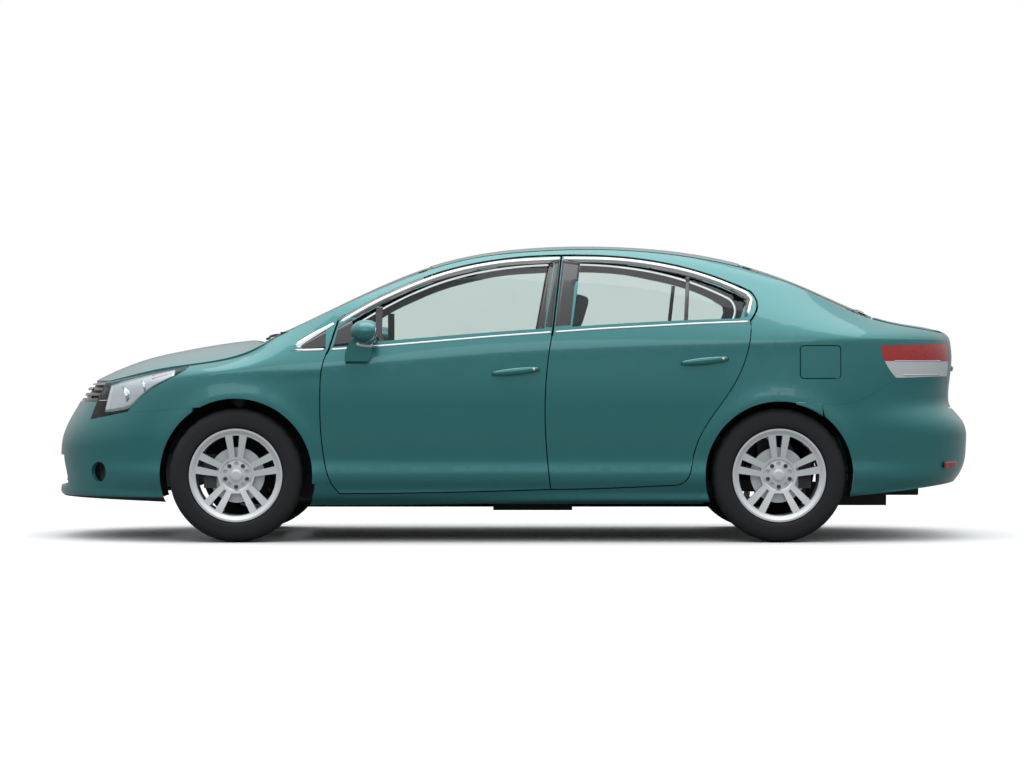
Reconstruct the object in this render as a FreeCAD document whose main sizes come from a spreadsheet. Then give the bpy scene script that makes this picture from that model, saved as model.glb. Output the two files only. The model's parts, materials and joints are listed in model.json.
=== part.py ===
import FreeCAD, Part
import Sketcher
import math
import os
from FreeCAD import Vector, Rotation, Placement

# Four-door saloon car. Millimetres, nose towards -X, the car's left side towards -Y, ground at z = 0.

SIZES = [
    ("wheelbase", 2700.0, "front axle to rear axle"),
    ("front_overhang", 975.0, "nose to front axle"),
    ("rear_overhang", 1020.0, "rear axle to tail"),
    ("body_width", 1810.0, "across the wheel arches"),
    ("waist_height", 1000.0, "ground to the middle of the belt line"),
    ("roof_height", 1505.0, "ground to the crown of the roof"),
    ("shut_gap", 5.5, "gap along panel edges"),
    ("frame_gap", 10.0, "gap along the upper door frames"),
    ("seam_gap", 0.6, "gap between fixed panels"),
    ("seat_gap", 0.3, "clearance of pieces that seat on each other"),
    ("skin", 18.0, "thickness of an outer panel with its flanges"),
    ("door_depth", 84.0, "door thickness below the belt"),
    ("frame_depth", 44.0, "door frame and pillar thickness above the belt"),
    ("hood_depth", 30.0, "hood thickness"),
    ("roof_depth", 28.0, "roof thickness with its bows"),
    ("glass", 5.0, "window glass thickness"),
    ("glass_inset", 13.0, "side glass behind the door skin"),
    ("tyre_radius", 334.0, "rolling radius"),
    ("tyre_width", 215.0, "tyre section width"),
    ("rim_radius", 232.0, "rim flange radius"),
    ("rim_width", 196.0, "rim width over the flanges"),
    ("track", 1550.0, "between tyre centre planes"),
    ("spoke_pairs", 5.0, "pairs of spokes on a wheel"),
    ("front_arch", 382.0, "front wheel arch radius"),
    ("rear_arch", 368.0, "rear wheel arch radius"),
    ("liner_gap", 9.0, "arch edge to wheel liner"),
    ("kingpin_inset", 75.0, "kingpin inboard of the tyre centre plane"),
    ("stud_circle", 114.3, "wheel bolt circle diameter"),
    ("disc_radius", 138.0, "brake disc radius"),
    ("disc_thickness", 24.0, "brake disc thickness"),
    ("steering_rim", 185.0, "steering wheel radius"),
    ("seat_width", 500.0, "front seat width"),
    ("floor_height", 215.0, "ground to the top of the cabin floor"),
    ("floor_thickness", 12.0, "floor pan thickness"),
    ("engine_length", 360.0, "engine block along the car"),
    ("engine_width", 620.0, "engine block across the car"),
    ("engine_height", 470.0, "engine block height"),
    ("exhaust_radius", 27.0, "exhaust pipe radius"),
]

doc = FreeCAD.newDocument("sedan")
sheet = doc.addObject("Spreadsheet::Sheet", "Sizes")
for row, (alias, value, note) in enumerate(SIZES, start=1):
    sheet.set(f"A{row}", alias.replace("_", " "))
    sheet.set(f"B{row}", str(value))
    sheet.setAlias(f"B{row}", alias)
    sheet.set(f"C{row}", note)
doc.recompute()


class Dim:
    """A size with the expression that gives it, so that one sum makes both."""

    def __init__(self, value, text):
        self.value = float(value)
        self.text = text

    @staticmethod
    def of(other):
        return other if isinstance(other, Dim) else Dim(other, repr(float(other)))

    def __add__(self, other):
        other = Dim.of(other)
        return Dim(self.value + other.value, f"({self.text} + {other.text})")

    def __sub__(self, other):
        other = Dim.of(other)
        return Dim(self.value - other.value, f"({self.text} - {other.text})")

    def __mul__(self, other):
        other = Dim.of(other)
        return Dim(self.value * other.value, f"({self.text} * {other.text})")

    def __truediv__(self, other):
        other = Dim.of(other)
        return Dim(self.value / other.value, f"({self.text} / {other.text})")

    def __radd__(self, other):
        return Dim.of(other) + self

    def __rsub__(self, other):
        return Dim.of(other) - self

    def __rmul__(self, other):
        return Dim.of(other) * self

    def __neg__(self):
        return Dim(-self.value, f"(-1 * {self.text})")

    def __float__(self):
        return self.value


def size(alias):
    return Dim(sheet.get(alias), f"Sizes.{alias}")


wheelbase = size("wheelbase")
front_overhang = size("front_overhang")
rear_overhang = size("rear_overhang")
half_body = size("body_width") / 2
waist_height = size("waist_height")
roof_height = size("roof_height")
shut_gap = float(size("shut_gap"))
frame_gap = float(size("frame_gap"))
seam_gap = float(size("seam_gap"))
seat_gap = size("seat_gap")
skin = float(size("skin"))
door_depth = float(size("door_depth"))
frame_depth = float(size("frame_depth"))
hood_depth = float(size("hood_depth"))
roof_depth = float(size("roof_depth"))
glass = float(size("glass"))
glass_inset = float(size("glass_inset"))
tyre_radius = size("tyre_radius")
tyre_width = size("tyre_width")
rim_radius = size("rim_radius")
rim_width = size("rim_width")
half_track = size("track") / 2
front_arch = float(size("front_arch"))
rear_arch = float(size("rear_arch"))
liner_gap = float(size("liner_gap"))
floor_height = size("floor_height")
floor_thickness = size("floor_thickness")

length = front_overhang + wheelbase + rear_overhang
front_axle = front_overhang - length / 2
rear_axle = front_axle + wheelbase
axle_height = tyre_radius

# The body is drawn at these anchor lines, and stretched between the lines that the sheet gives.
DRAWN_STATIONS = (-2347.5, -1372.5, 1327.5, 2347.5)
DRAWN_HALF_WIDTH = 905.0
DRAWN_LEVELS = (0.0, 1000.0, 1505.0)
REAL_STATIONS = (
    float(-length / 2),
    float(front_axle),
    float(rear_axle),
    float(length / 2),
)
REAL_LEVELS = (0.0, float(waist_height), float(roof_height))


def stretched(value, drawn, real):
    """Moves a drawn coordinate with its two neighbouring anchor lines."""
    last = len(drawn) - 2
    k = 0
    while k < last and value > drawn[k + 1]:
        k += 1
    share = (value - drawn[k]) / (drawn[k + 1] - drawn[k])
    return real[k] + share * (real[k + 1] - real[k])


def at_x(x):
    return stretched(x, DRAWN_STATIONS, REAL_STATIONS)


def at_y(y):
    return y * float(half_body) / DRAWN_HALF_WIDTH


def at_z(z):
    return stretched(z, DRAWN_LEVELS, REAL_LEVELS)


def real_point(x, y, z):
    return Vector(at_x(x), at_y(y), at_z(z))


class Guide:
    """A smooth curve through a few stations: a natural cubic spline, straight beyond its ends."""

    def __init__(self, *points):
        self.x = [p[0] for p in points]
        self.y = [p[1] for p in points]
        n = len(points)
        steps = [self.x[i + 1] - self.x[i] for i in range(n - 1)]
        slopes = [(self.y[i + 1] - self.y[i]) / steps[i] for i in range(n - 1)]
        self.bend = [0.0] * n
        upper = [0.0] * n
        right = [0.0] * n
        for i in range(1, n - 1):
            pivot = 2 * (steps[i - 1] + steps[i]) - steps[i - 1] * upper[i - 1]
            upper[i] = steps[i] / pivot
            right[i] = (6 * (slopes[i] - slopes[i - 1]) - steps[i - 1] * right[i - 1]) / pivot
        for i in range(n - 2, 0, -1):
            self.bend[i] = right[i] - upper[i] * self.bend[i + 1]
        self.steps = steps
        self.slopes = slopes

    def end_slope(self, last):
        i = len(self.x) - 2 if last else 0
        reach = self.steps[i] / 6
        if last:
            return self.slopes[i] + reach * (self.bend[i] + 2 * self.bend[i + 1])
        return self.slopes[i] - reach * (2 * self.bend[i] + self.bend[i + 1])

    def __call__(self, x):
        if x <= self.x[0]:
            return self.y[0] + self.end_slope(False) * (x - self.x[0])
        if x >= self.x[-1]:
            return self.y[-1] + self.end_slope(True) * (x - self.x[-1])
        i = 0
        while x > self.x[i + 1]:
            i += 1
        step = self.steps[i]
        b = (x - self.x[i]) / step
        a = 1 - b
        curve = (a**3 - a) * self.bend[i] + (b**3 - b) * self.bend[i + 1]
        return a * self.y[i] + b * self.y[i + 1] + curve * step * step / 6


# Body form, drawn: plan outline, flank section and the long lines of the car.

FRONT_SHOULDER = -1200.0
REAR_SHOULDER = 1200.0
NOSE_ROUNDNESS = 2.6
TAIL_ROUNDNESS = 3.4

nose_profile = Guide(
    (180, -2316), (215, -2332), (252, -2346), (300, -2338), (360, -2342), (440, -2347), (520, -2336),
    (600, -2303), (680, -2256), (750, -2213), (800, -2172), (860, -2090),
)
tail_profile = Guide(
    (280, 2275), (330, 2312), (400, 2340), (480, 2347), (560, 2344), (620, 2312), (670, 2268),
    (730, 2254), (830, 2264), (930, 2272), (1000, 2264), (1040, 2252),
)
flank = Guide(
    (170, 768), (195, 812), (230, 846), (285, 872), (335, 886), (390, 879), (470, 883), (600, 891),
    (720, 894), (830, 890), (930, 884), (1030, 878),
)
bottom_line = Guide(
    (-2347, 222), (-1900, 208), (-1372, 190), (-600, 184), (400, 197), (1327, 208), (1750, 234), (2347, 306)
)
shoulder_line = Guide(
    (-2347, 758), (-1900, 790), (-1472, 838), (-1050, 868), (-60, 946), (932, 991), (1500, 1006), (2347, 1008)
)
rail_height = Guide(
    (-2347, 797), (-2050, 801), (-1800, 856), (-1448, 910), (-1330, 944), (-1210, 1002), (-948, 1132),
    (-558, 1309), (-245, 1411), (100, 1456), (380, 1467), (772, 1445), (1110, 1387), (1474, 1268),
    (1780, 1130), (1900, 1094), (2050, 1067), (2347, 1022),
)
rail_width = Guide(
    (-2347, 872), (-1900, 838), (-1448, 800), (-1210, 785), (-948, 745), (-558, 674), (-245, 631),
    (100, 606), (380, 599), (772, 603), (1110, 617), (1474, 655), (1864, 735), (2020, 795), (2347, 860),
)
roll_in = Guide(
    (-2347, 1.8), (-1400, 1.7), (-1050, 1.33), (-600, 1.27), (1000, 1.27), (1500, 1.3), (1900, 1.6), (2347, 1.8)
)
hood_crown = Guide(
    (-2172, 803), (-2043, 864), (-1886, 921), (-1700, 963), (-1500, 998), (-1330, 1018), (-1200, 1030)
)
cabin_crown = Guide(
    (-1330, 995), (-1105, 1097), (-792, 1249), (-479, 1383), (-245, 1449), (60, 1493), (380, 1505),
    (700, 1493), (1000, 1455), (1240, 1396), (1474, 1311), (1708, 1208), (1880, 1130),
)
deck_crown = Guide((1840, 1141), (1942, 1113), (2098, 1088), (2190, 1068), (2262, 1036))

FLARE_HEIGHT = 11.0
FLARE_BREADTH = 60.0
CANT_ROUNDING = 20.0
CANT_ROUNDING_START = 0.86
CANT_LIMITS = (-900.0, 1500.0)
DRAWN_AXLE_HEIGHT = 334.0


def smooth_step(value, low, high):
    share = min(1.0, max(0.0, (value - low) / (high - low)))
    return share * share * (3 - 2 * share)


def flare(x, z):
    """The raised lip round both wheel arches."""
    total = 0.0
    for centre, radius in ((DRAWN_STATIONS[1], 382.0), (DRAWN_STATIONS[2], 368.0)):
        away = math.hypot(x - centre, z - DRAWN_AXLE_HEIGHT) - radius
        total += FLARE_HEIGHT * math.exp(-((away / FLARE_BREADTH) ** 2))
    return total


def half_width(x, z):
    shoulder = shoulder_line(x)
    below = flank(min(z, shoulder)) + flare(x, z)
    if z <= shoulder:
        return below
    rise = (z - shoulder) / (rail_height(x) - shoulder)
    width = below - (below - rail_width(x)) * rise ** roll_in(x)
    if rise > CANT_ROUNDING_START:
        zone = smooth_step(x, CANT_LIMITS[0], CANT_LIMITS[0] + 300)
        zone *= 1 - smooth_step(x, CANT_LIMITS[1] - 300, CANT_LIMITS[1])
        over = (rise - CANT_ROUNDING_START) / (1 - CANT_ROUNDING_START)
        width -= CANT_ROUNDING * zone * over * over
    return width


def plan_point(w, z, inset=0.0):
    """A point of the body side: w runs -1 at the nose, 0 to 1 along the doors, 2 at the tail."""
    if w < 0:
        x = FRONT_SHOULDER + w * (FRONT_SHOULDER - nose_profile(z) - inset)
        taper = max(0.0, 1 - (-w) ** NOSE_ROUNDNESS) ** (1 / NOSE_ROUNDNESS)
    elif w > 1:
        x = REAR_SHOULDER + (w - 1) * (tail_profile(z) - inset - REAR_SHOULDER)
        taper = max(0.0, 1 - (w - 1) ** TAIL_ROUNDNESS) ** (1 / TAIL_ROUNDNESS)
    else:
        x = FRONT_SHOULDER + w * (REAR_SHOULDER - FRONT_SHOULDER)
        taper = 1.0
    return x, (half_width(x, z) - inset) * taper


def plan_table():
    """Distances along the plan outline, for even stations on the rounded nose and tail."""
    steps = 160
    ws = []
    for k in range(steps + 1):
        ws.append(-(math.cos(math.pi / 2 * k / steps) ** (2 / NOSE_ROUNDNESS)))
    ws += [k / steps for k in range(1, steps)]
    for k in range(steps + 1):
        ws.append(1 + math.sin(math.pi / 2 * k / steps) ** (2 / TAIL_ROUNDNESS))
    points = [plan_point(w, 600.0) for w in ws]
    run = [0.0]
    for a, b in zip(points, points[1:]):
        run.append(run[-1] + math.hypot(b[0] - a[0], b[1] - a[1]))
    return ws, run


PLAN_W, PLAN_RUN = plan_table()


def between(value, xs, ys):
    k = 0
    while k < len(xs) - 2 and value > xs[k + 1]:
        k += 1
    share = (value - xs[k]) / (xs[k + 1] - xs[k])
    return ys[k] + share * (ys[k + 1] - ys[k])


def w_at(x):
    """The station parameter where the outline at mid height passes x."""
    if x < FRONT_SHOULDER:
        return max(-1.0, -(FRONT_SHOULDER - x) / (FRONT_SHOULDER - nose_profile(600.0)))
    if x > REAR_SHOULDER:
        return min(2.0, 1 + (x - REAR_SHOULDER) / (tail_profile(600.0) - REAR_SHOULDER))
    return (x - FRONT_SHOULDER) / (REAR_SHOULDER - FRONT_SHOULDER)


def spread(w_from, w_to, spacing):
    start = between(w_from, PLAN_W, PLAN_RUN)
    end = between(w_to, PLAN_W, PLAN_RUN)
    count = max(4, math.ceil((end - start) / spacing))
    return [between(start + (end - start) * k / count, PLAN_RUN, PLAN_W) for k in range(count + 1)]


def spline_surface(rows):
    surface = Part.BSplineSurface()
    surface.interpolate(rows)
    return surface


def solid_between(outer_rows, inner_rows):
    """A closed solid between two splined faces, with ruled edges."""
    outer = spline_surface(outer_rows)
    inner = spline_surface(inner_rows)

    def edges(surface):
        u0, u1, v0, v1 = surface.bounds()
        isos = (surface.uIso(u0), surface.uIso(u1), surface.vIso(v0), surface.vIso(v1))
        return [iso.toShape() for iso in isos]

    faces = [outer.toShape(), inner.toShape()]
    faces += [Part.makeRuledSurface(a, b) for a, b in zip(edges(outer), edges(inner))]
    shell = Part.makeShell(faces)
    shell.sewShape()
    solid = Part.Solid(shell)
    if solid.Volume < 0:
        solid.reverse()
    return solid


def side_slab(w_list, low, high, outer, inner, spacing=55.0, sides=None):
    """A slab of the body side between two insets. low, high: levels as functions of x, or None for the rail."""
    sides = sides or [-1] * len(w_list)
    columns = []
    for w in w_list:
        x = plan_point(w, 800.0)[0]
        columns.append((low(x), shoulder_line(x), rail_height(x) if high is None else high(x)))
    with_shoulder = high is None and all(middle > bottom + 25 for bottom, middle, top in columns)
    if with_shoulder:
        lower = max(3, math.ceil(max(middle - bottom for bottom, middle, top in columns) / spacing))
        upper = max(3, math.ceil(max(top - middle for bottom, middle, top in columns) / spacing))
    else:
        lower = max(5, math.ceil(max(top - bottom for bottom, middle, top in columns) / spacing))
        upper = 0

    def levels(bottom, middle, top):
        """Heights of one column; with a shoulder, one of them lies on it."""
        if not upper:
            return [bottom + (top - bottom) * k / lower for k in range(lower + 1)]
        rows = [bottom + (middle - bottom) * k / lower for k in range(lower + 1)]
        return rows + [middle + (top - middle) * k / upper for k in range(1, upper + 1)]

    def grid(inset):
        rows = []
        for w, side, column in zip(w_list, sides, columns):
            row = []
            for z in levels(*column):
                depth = inset(z, x=plan_point(w, z)[0]) if callable(inset) else inset
                x, y = plan_point(w, z, depth)
                row.append(real_point(x, side * y, z))
            rows.append(row)
        return rows

    return solid_between(grid(outer), grid(inner))


def rail_y(x):
    """Half width at the rail, where the side turns into the hood, roof or deck."""
    z = rail_height(x)
    if x < FRONT_SHOULDER:
        w = (FRONT_SHOULDER - x) / (FRONT_SHOULDER - nose_profile(z))
        taper = max(0.0, 1 - min(1.0, w) ** NOSE_ROUNDNESS) ** (1 / NOSE_ROUNDNESS)
    elif x > REAR_SHOULDER:
        w = (x - REAR_SHOULDER) / (tail_profile(z) - REAR_SHOULDER)
        taper = max(0.0, 1 - min(1.0, w) ** TAIL_ROUNDNESS) ** (1 / TAIL_ROUNDNESS)
    else:
        taper = 1.0
    return half_width(x, z) * taper


def top_slab(crown, x_list, upper, lower, exponent, reach=1.04):
    """A slab under a top face that falls from the crown to the rails, between two drops below it."""
    half = 9

    def grid(drop):
        rows = []
        for x in x_list:
            fall = crown(x) - rail_height(x)
            row = []
            for j in range(-half, half + 1):
                share = reach * j / half
                z = crown(x) - fall * abs(share) ** exponent - drop
                row.append(real_point(x, share * rail_y(x), z))
            rows.append(row)
        return rows

    return solid_between(grid(upper), grid(lower))


def steps_between(first, last, spacing=60.0):
    count = max(5, math.ceil(abs(last - first) / spacing))
    return [first + (last - first) * k / count for k in range(count + 1)]


def outline(*runs):
    """A closed face in side view from runs of points: two make a straight line, more a smooth curve."""
    edges = []
    for run in runs:
        points = [Vector(at_x(x), 0, at_z(z)) for x, z in run]
        if len(points) == 2:
            edges.append(Part.LineSegment(points[0], points[1]).toShape())
        else:
            curve = Part.BSplineCurve()
            curve.interpolate(points)
            edges.append(curve.toShape())
    return Part.Face(Part.Wire(edges))


def shifted(face, x, z):
    """The same side-view face a little further on, to leave a seam."""
    copy = face.copy()
    copy.translate(Vector(x, 0, z))
    return copy


def grown(face, distance):
    """The face with its outline moved outwards, drawn again as lines and splines."""
    edges = []
    for edge in face.makeOffset2D(distance, 0).OuterWire.OrderedEdges:
        ends = [edge.valueAt(edge.FirstParameter), edge.valueAt(edge.LastParameter)]
        if isinstance(edge.Curve, Part.Line):
            edges.append(Part.makeLine(*ends))
        else:
            curve = Part.BSplineCurve()
            curve.interpolate(edge.discretize(max(6, math.ceil(edge.Length / 60))))
            edges.append(curve.toShape())
    return Part.Face(Part.Wire(edges))


FAR = 1300.0


def outward(solid):
    """The same solid with its faces pointing out."""
    if solid.Volume < 0:
        solid.reverse()
    return solid


def across(face, y_from, y_to):
    """A prism through the car from a side-view face."""
    moved = face.copy()
    moved.translate(Vector(0, y_from, 0))
    return outward(moved.extrude(Vector(0, y_to - y_from, 0)))


def plan_prism(*runs, low=0.0, high=2500.0):
    """A vertical prism from a plan outline."""
    edges = []
    for run in runs:
        points = [Vector(at_x(x), at_y(y), low) for x, y in run]
        if len(points) == 2:
            edges.append(Part.LineSegment(points[0], points[1]).toShape())
        else:
            curve = Part.BSplineCurve()
            curve.interpolate(points)
            edges.append(curve.toShape())
    return outward(Part.Face(Part.Wire(edges)).extrude(Vector(0, 0, high - low)))


def left_prism(face, y_from=-FAR, y_to=0.0):
    return across(face, y_from, y_to)


def mirrored(shape):
    return shape.mirror(Vector(0, 0, 0), Vector(0, 1, 0))


def box(x0, x1, y0, y1, z0, z1):
    return Part.makeBox(x1 - x0, y1 - y0, z1 - z0, Vector(x0, y0, z0))


def largest(shape, count=1):
    """The biggest solids of a boolean's result, without slivers."""
    solids = sorted(shape.Solids, key=lambda s: -s.Volume)[:count]
    return solids[0] if count == 1 else Part.makeCompound(solids)


PIECES = []


def feature(label, shape):
    """Adds a free-form piece to the document."""
    piece = doc.addObject("Part::Feature", label)
    piece.Label = label
    piece.Shape = shape
    PIECES.append(piece)
    return piece


# Shut lines in side view, drawn.

FRONT_EDGE = [(-912, 957), (-944, 870), (-953, 740), (-952, 600), (-934, 420), (-900, 300), (-856, 243)]
DOOR_BOTTOM_FRONT = [(-856, 243), (-400, 248), (193, 264)]
MIDDLE_LOW = [(193, 264), (167, 540), (169, 800), (203, 1050)]
MIDDLE_HIGH = [(203, 1050), (250, 1437)]
WINDOW_TOP_FRONT = [(250, 1437), (-60, 1416), (-357, 1352), (-654, 1229), (-868, 1108)]
DOOR_BOTTOM_REAR = [(193, 264), (450, 269), (684, 279), (808, 285)]
REAR_EDGE_LOW = [(808, 285), (872, 318), (897, 411), (942, 545), (1031, 680), (1115, 808), (1168, 940),
                 (1190, 1105)]
WINDOW_TAIL = [(1190, 1105), (1221, 1215), (1192, 1254)]
WINDOW_TOP_REAR = [(1192, 1254), (1031, 1324), (833, 1384), (560, 1428), (250, 1437)]

front_door_face = outline(FRONT_EDGE, DOOR_BOTTOM_FRONT, MIDDLE_LOW, MIDDLE_HIGH, WINDOW_TOP_FRONT,
                          [(-868, 1108), (-912, 957)])
rear_door_face = outline(MIDDLE_LOW[::-1], DOOR_BOTTOM_REAR, REAR_EDGE_LOW, WINDOW_TAIL, WINDOW_TOP_REAR,
                         MIDDLE_HIGH[::-1])

belt = Guide((-1096, 948), (-555, 989), (-60, 1031), (436, 1066), (932, 1093), (1185, 1103))
BELT_SPLIT = [(x, belt(x)) for x in (-1100, -500, 100, 700, 1300)]


def above_belt(drop=0.0):
    line = [(x, z - drop) for x, z in BELT_SPLIT]
    return outline(line, [(1300, line[-1][1]), (1300, 1700)], [(1300, 1700), (-1100, 1700)],
                   [(-1100, 1700), (-1100, line[0][1])])


def below_belt(drop=0.0):
    line = [(x, z - drop) for x, z in BELT_SPLIT]
    return outline(line, [(1300, line[-1][1]), (1300, 60)], [(1300, 60), (-1100, 60)],
                   [(-1100, 60), (-1100, line[0][1])])


GAP_SPLIT = 25.0
UPPER = left_prism(above_belt(GAP_SPLIT))
LOWER = left_prism(below_belt(GAP_SPLIT))


def by_belt(face, low, high):
    """The prism of a side-view face, grown by one gap below the belt and by another above it."""
    lower = left_prism(grown(face, low)).common(LOWER)
    upper = left_prism(grown(face, high)).common(UPPER)
    return lower.fuse(upper)


FRONT_GLASS = outline(
    [(-790, 990), (-520, 1012), (-60, 1049), (160, 1064)],
    [(160, 1064), (212, 1398)],
    [(212, 1398), (-60, 1378), (-340, 1316), (-600, 1212), (-800, 1098)],
    [(-800, 1098), (-790, 990)],
)
REAR_GLASS = outline(
    [(300, 1073), (700, 1098), (1140, 1115)],
    [(1140, 1115), (1172, 1208)],
    [(1172, 1208), (1010, 1288), (820, 1344), (560, 1390), (345, 1399)],
    [(345, 1399), (300, 1073)],
)


def depth(z, x):
    """Door and pillar thickness: full below the belt, slim along the window frames."""
    edge = belt(x)
    return frame_depth + (door_depth - frame_depth) * (1 - smooth_step(z, edge - 40, edge + 30))


STEP = 26.0


def door(face, glass_face):
    """A door: a skin to the shut lines, and an inner box that stops short of them at its free edges."""
    x0 = face.BoundBox.XMin - 40
    x1 = face.BoundBox.XMax + 40
    ws = spread(w_at(x0), w_at(x1), 60.0)
    outer = side_slab(ws, lambda x: 215.0, None, 0.0, skin, spacing=45.0)
    inner = side_slab(ws, lambda x: 215.0, None, skin, depth, spacing=45.0)
    full = by_belt(face, -shut_gap / 2, -frame_gap / 2)
    narrow = left_prism(grown(face, -STEP))
    lead = box(x0 - 50, x0 + 40 + 420, -FAR, 0, 0, 2000)
    core = inner.common(full).common(narrow.fuse(full.common(lead)))
    panel = outer.common(full).fuse(core).removeSplitter()
    hole = left_prism(glass_face)
    return largest(panel.cut(hole)), ws


def door_glass(glass_face, ws):
    slab = side_slab(ws, lambda x: 940.0, None, glass_inset, glass_inset + glass, spacing=45.0)
    return largest(slab.common(left_prism(grown(glass_face, -float(seat_gap)))))


def both_sides(name, shape):
    feature(name + "_left", shape)
    feature(name + "_right", mirrored(shape))


front_door, front_ws = door(front_door_face, FRONT_GLASS)
rear_door, rear_ws = door(rear_door_face, REAR_GLASS)
both_sides("door_front", front_door)
both_sides("door_rear", rear_door)
both_sides("glass_front", door_glass(FRONT_GLASS, front_ws))
both_sides("glass_rear", door_glass(REAR_GLASS, rear_ws))


# Top panels: hood, screens, roof and boot lid.

PILLAR = frame_depth
HOOD_EXPONENT = 2.6
ROOF_EXPONENT = 2.2
FLANGE = 4.5


def rail_run(xs, inside, side=-1):
    """Points in plan along the rail, a distance inside it."""
    return [(x, side * (rail_y(x) - inside)) for x in xs]


def nose_run(inside, ws):
    """Points in plan along the top of the nose, from left to right."""
    left = []
    for w in ws:
        x, y = plan_point(w, 800.0, inside)
        left.append((x, -y))
    return left + [(x, -y) for x, y in left[-2::-1]]


def hood_prism(inside, back):
    side = rail_run((-2040, -1800, -1500, -1222 + back), FLANGE + inside)
    front = nose_run(FLANGE + inside, (w_at(-2040) * 0.99, -0.93, -0.99, -1.0))
    front[0] = side[0]
    front[-1] = (side[0][0], -side[0][1])
    right = [(x, -y) for x, y in side]
    rear = [side[-1], (-1290 + back, -500), (-1345 + back, 0), (-1290 + back, 500), right[-1]]
    return plan_prism(side[::-1], front, right, rear[::-1])


hood_xs = [plan_point(w, 800.0)[0] for w in spread(-0.9985, w_at(-1225), 70.0)]
hood_xs[-1] = -1205.0
hood = top_slab(hood_crown, hood_xs, 0.0, hood_depth, HOOD_EXPONENT).common(hood_prism(shut_gap, 0.0))
hood = largest(hood)
feature("hood", hood)
hood_space = top_slab(hood_crown, hood_xs, -60.0, hood_depth + 6, HOOD_EXPONENT).common(hood_prism(-0.5, 6.0))

cabin_xs = steps_between(-1330.0, 1900.0, 70.0)


def cabin_slab(upper, lower):
    return top_slab(cabin_crown, cabin_xs, upper, lower, ROOF_EXPONENT, reach=1.0)


def band_prism(front_run, rear_run, ends, inside):
    left = rail_run(steps_between(*ends, 110.0), inside)
    left[0] = front_run[0]
    left[-1] = rear_run[0]
    right = [(x, -y) for x, y in left]
    return plan_prism(left[::-1], front_run, right, rear_run[::-1])


def bow(x_side, x_middle, inside, shift=0.0):
    """A curved cross line in plan from left rail to right rail."""
    y = rail_y(x_side) - inside
    middle = x_middle + shift
    side = x_side + shift
    quarter = middle + (side - middle) * 0.3
    return [(side, -y), (quarter, -y * 0.55), (middle, 0), (quarter, y * 0.55), (side, y)]


EDGE = PILLAR + 1.5
SCREEN_BASE = (-1128.0, -1272.0)
SCREEN_TOP = (-398.0, -432.0)
LIGHT_TOP = (1150.0, 1182.0)
LIGHT_BASE = (1800.0, 1868.0)
glass_sheet = cabin_slab(4.0, 4.0 + glass)
screen_prism = band_prism(bow(*SCREEN_BASE, EDGE), bow(*SCREEN_TOP, EDGE), (-1128, -398), EDGE)
light_prism = band_prism(bow(*LIGHT_TOP, EDGE), bow(*LIGHT_BASE, EDGE), (1150, 1800), EDGE)
feature("windscreen", largest(glass_sheet.common(screen_prism)))
feature("rear_window", largest(glass_sheet.common(light_prism)))
roof_prism = band_prism(bow(*SCREEN_TOP, EDGE, 3.0), bow(*LIGHT_TOP, EDGE, -3.0),
                        (-395, 1147), EDGE)
roof = largest(cabin_slab(0.0, roof_depth).common(roof_prism))
feature("roof_panel", roof)

LID_FRONT = (1818.0, 1884.0)
lid_xs = [plan_point(w, 1034.0)[0] for w in spread(w_at(1800), 1.9995, 60.0)]
lid_xs[0] = 1795.0


def lid_outline(inside, front):
    side = rail_run((1818 + front, 1950, 2080, 2160), PILLAR + inside)
    side[0] = (LID_FRONT[0] + front, side[0][1])
    right = [(x, -y) for x, y in side]
    front_bow = bow(LID_FRONT[0] + front, LID_FRONT[1] + front, PILLAR + inside)
    front_bow[0] = side[0]
    front_bow[-1] = right[0]
    corner = [side[-1], (2420, side[-1][1])]
    return plan_prism(side[::-1], front_bow, right, [right[-1], (2420, right[-1][1])],
                      [(2420, right[-1][1]), corner[1]], corner[::-1])


def tail_stations(from_x, spacing=60.0):
    left = spread(w_at(from_x), 2.0, spacing)
    ws = left + left[-2::-1]
    sides = [-1] * len(left) + [1] * (len(left) - 1)
    return ws, sides


def nose_stations(from_x, spacing=60.0):
    half = spread(-1.0, w_at(from_x), spacing)
    ws = half[::-1] + half[1:]
    sides = [-1] * len(half) + [1] * (len(half) - 1)
    return ws, sides


LID_SEAM = 668.0
LID_DEPTH = 24.0
LID_EDGE = 12.0
LID_SPREAD = 9


def tail_x(y, z, inset):
    """Where the tail face is at a distance y from the middle."""
    near, far = w_at(1500.0), 2.0
    for _ in range(30):
        middle = (near + far) / 2
        if plan_point(middle, z, inset)[1] > y:
            near = middle
        else:
            far = middle
    return plan_point(near, z, inset)[0]


def lid_row_width(x):
    return rail_y(min(x, 2160.0)) - 20.0


def lid_rows(drop):
    """One face from the front edge of the lid over the deck and down the tail."""
    rows = []
    over = [k / 7 for k in range(8)]
    down = [k / 8 for k in range(9)]
    columns = []
    for j in range(-LID_SPREAD, LID_SPREAD + 1):
        share = j / LID_SPREAD
        y_end = share * lid_row_width(2200.0)
        x_end = tail_x(abs(y_end), 1030.0, 0.0) - LID_EDGE - drop
        column = []
        for t in over:
            x = 1795.0 + t * (x_end - 1795.0)
            y = share * lid_row_width(x)
            fall = (deck_crown(x) - rail_height(x)) * abs(y / rail_y(x)) ** HOOD_EXPONENT
            column.append(real_point(x, y, deck_crown(x) - fall - drop))
            edge = deck_crown(x) - fall - drop - LID_EDGE
        for t in down:
            z = edge + t * (LID_SEAM - 4.0 - edge)
            column.append(real_point(tail_x(abs(y_end), z, drop), y_end, z))
        columns.append(column)
    for k in range(len(columns[0])):
        rows.append([column[k] for column in columns])
    return rows


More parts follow.
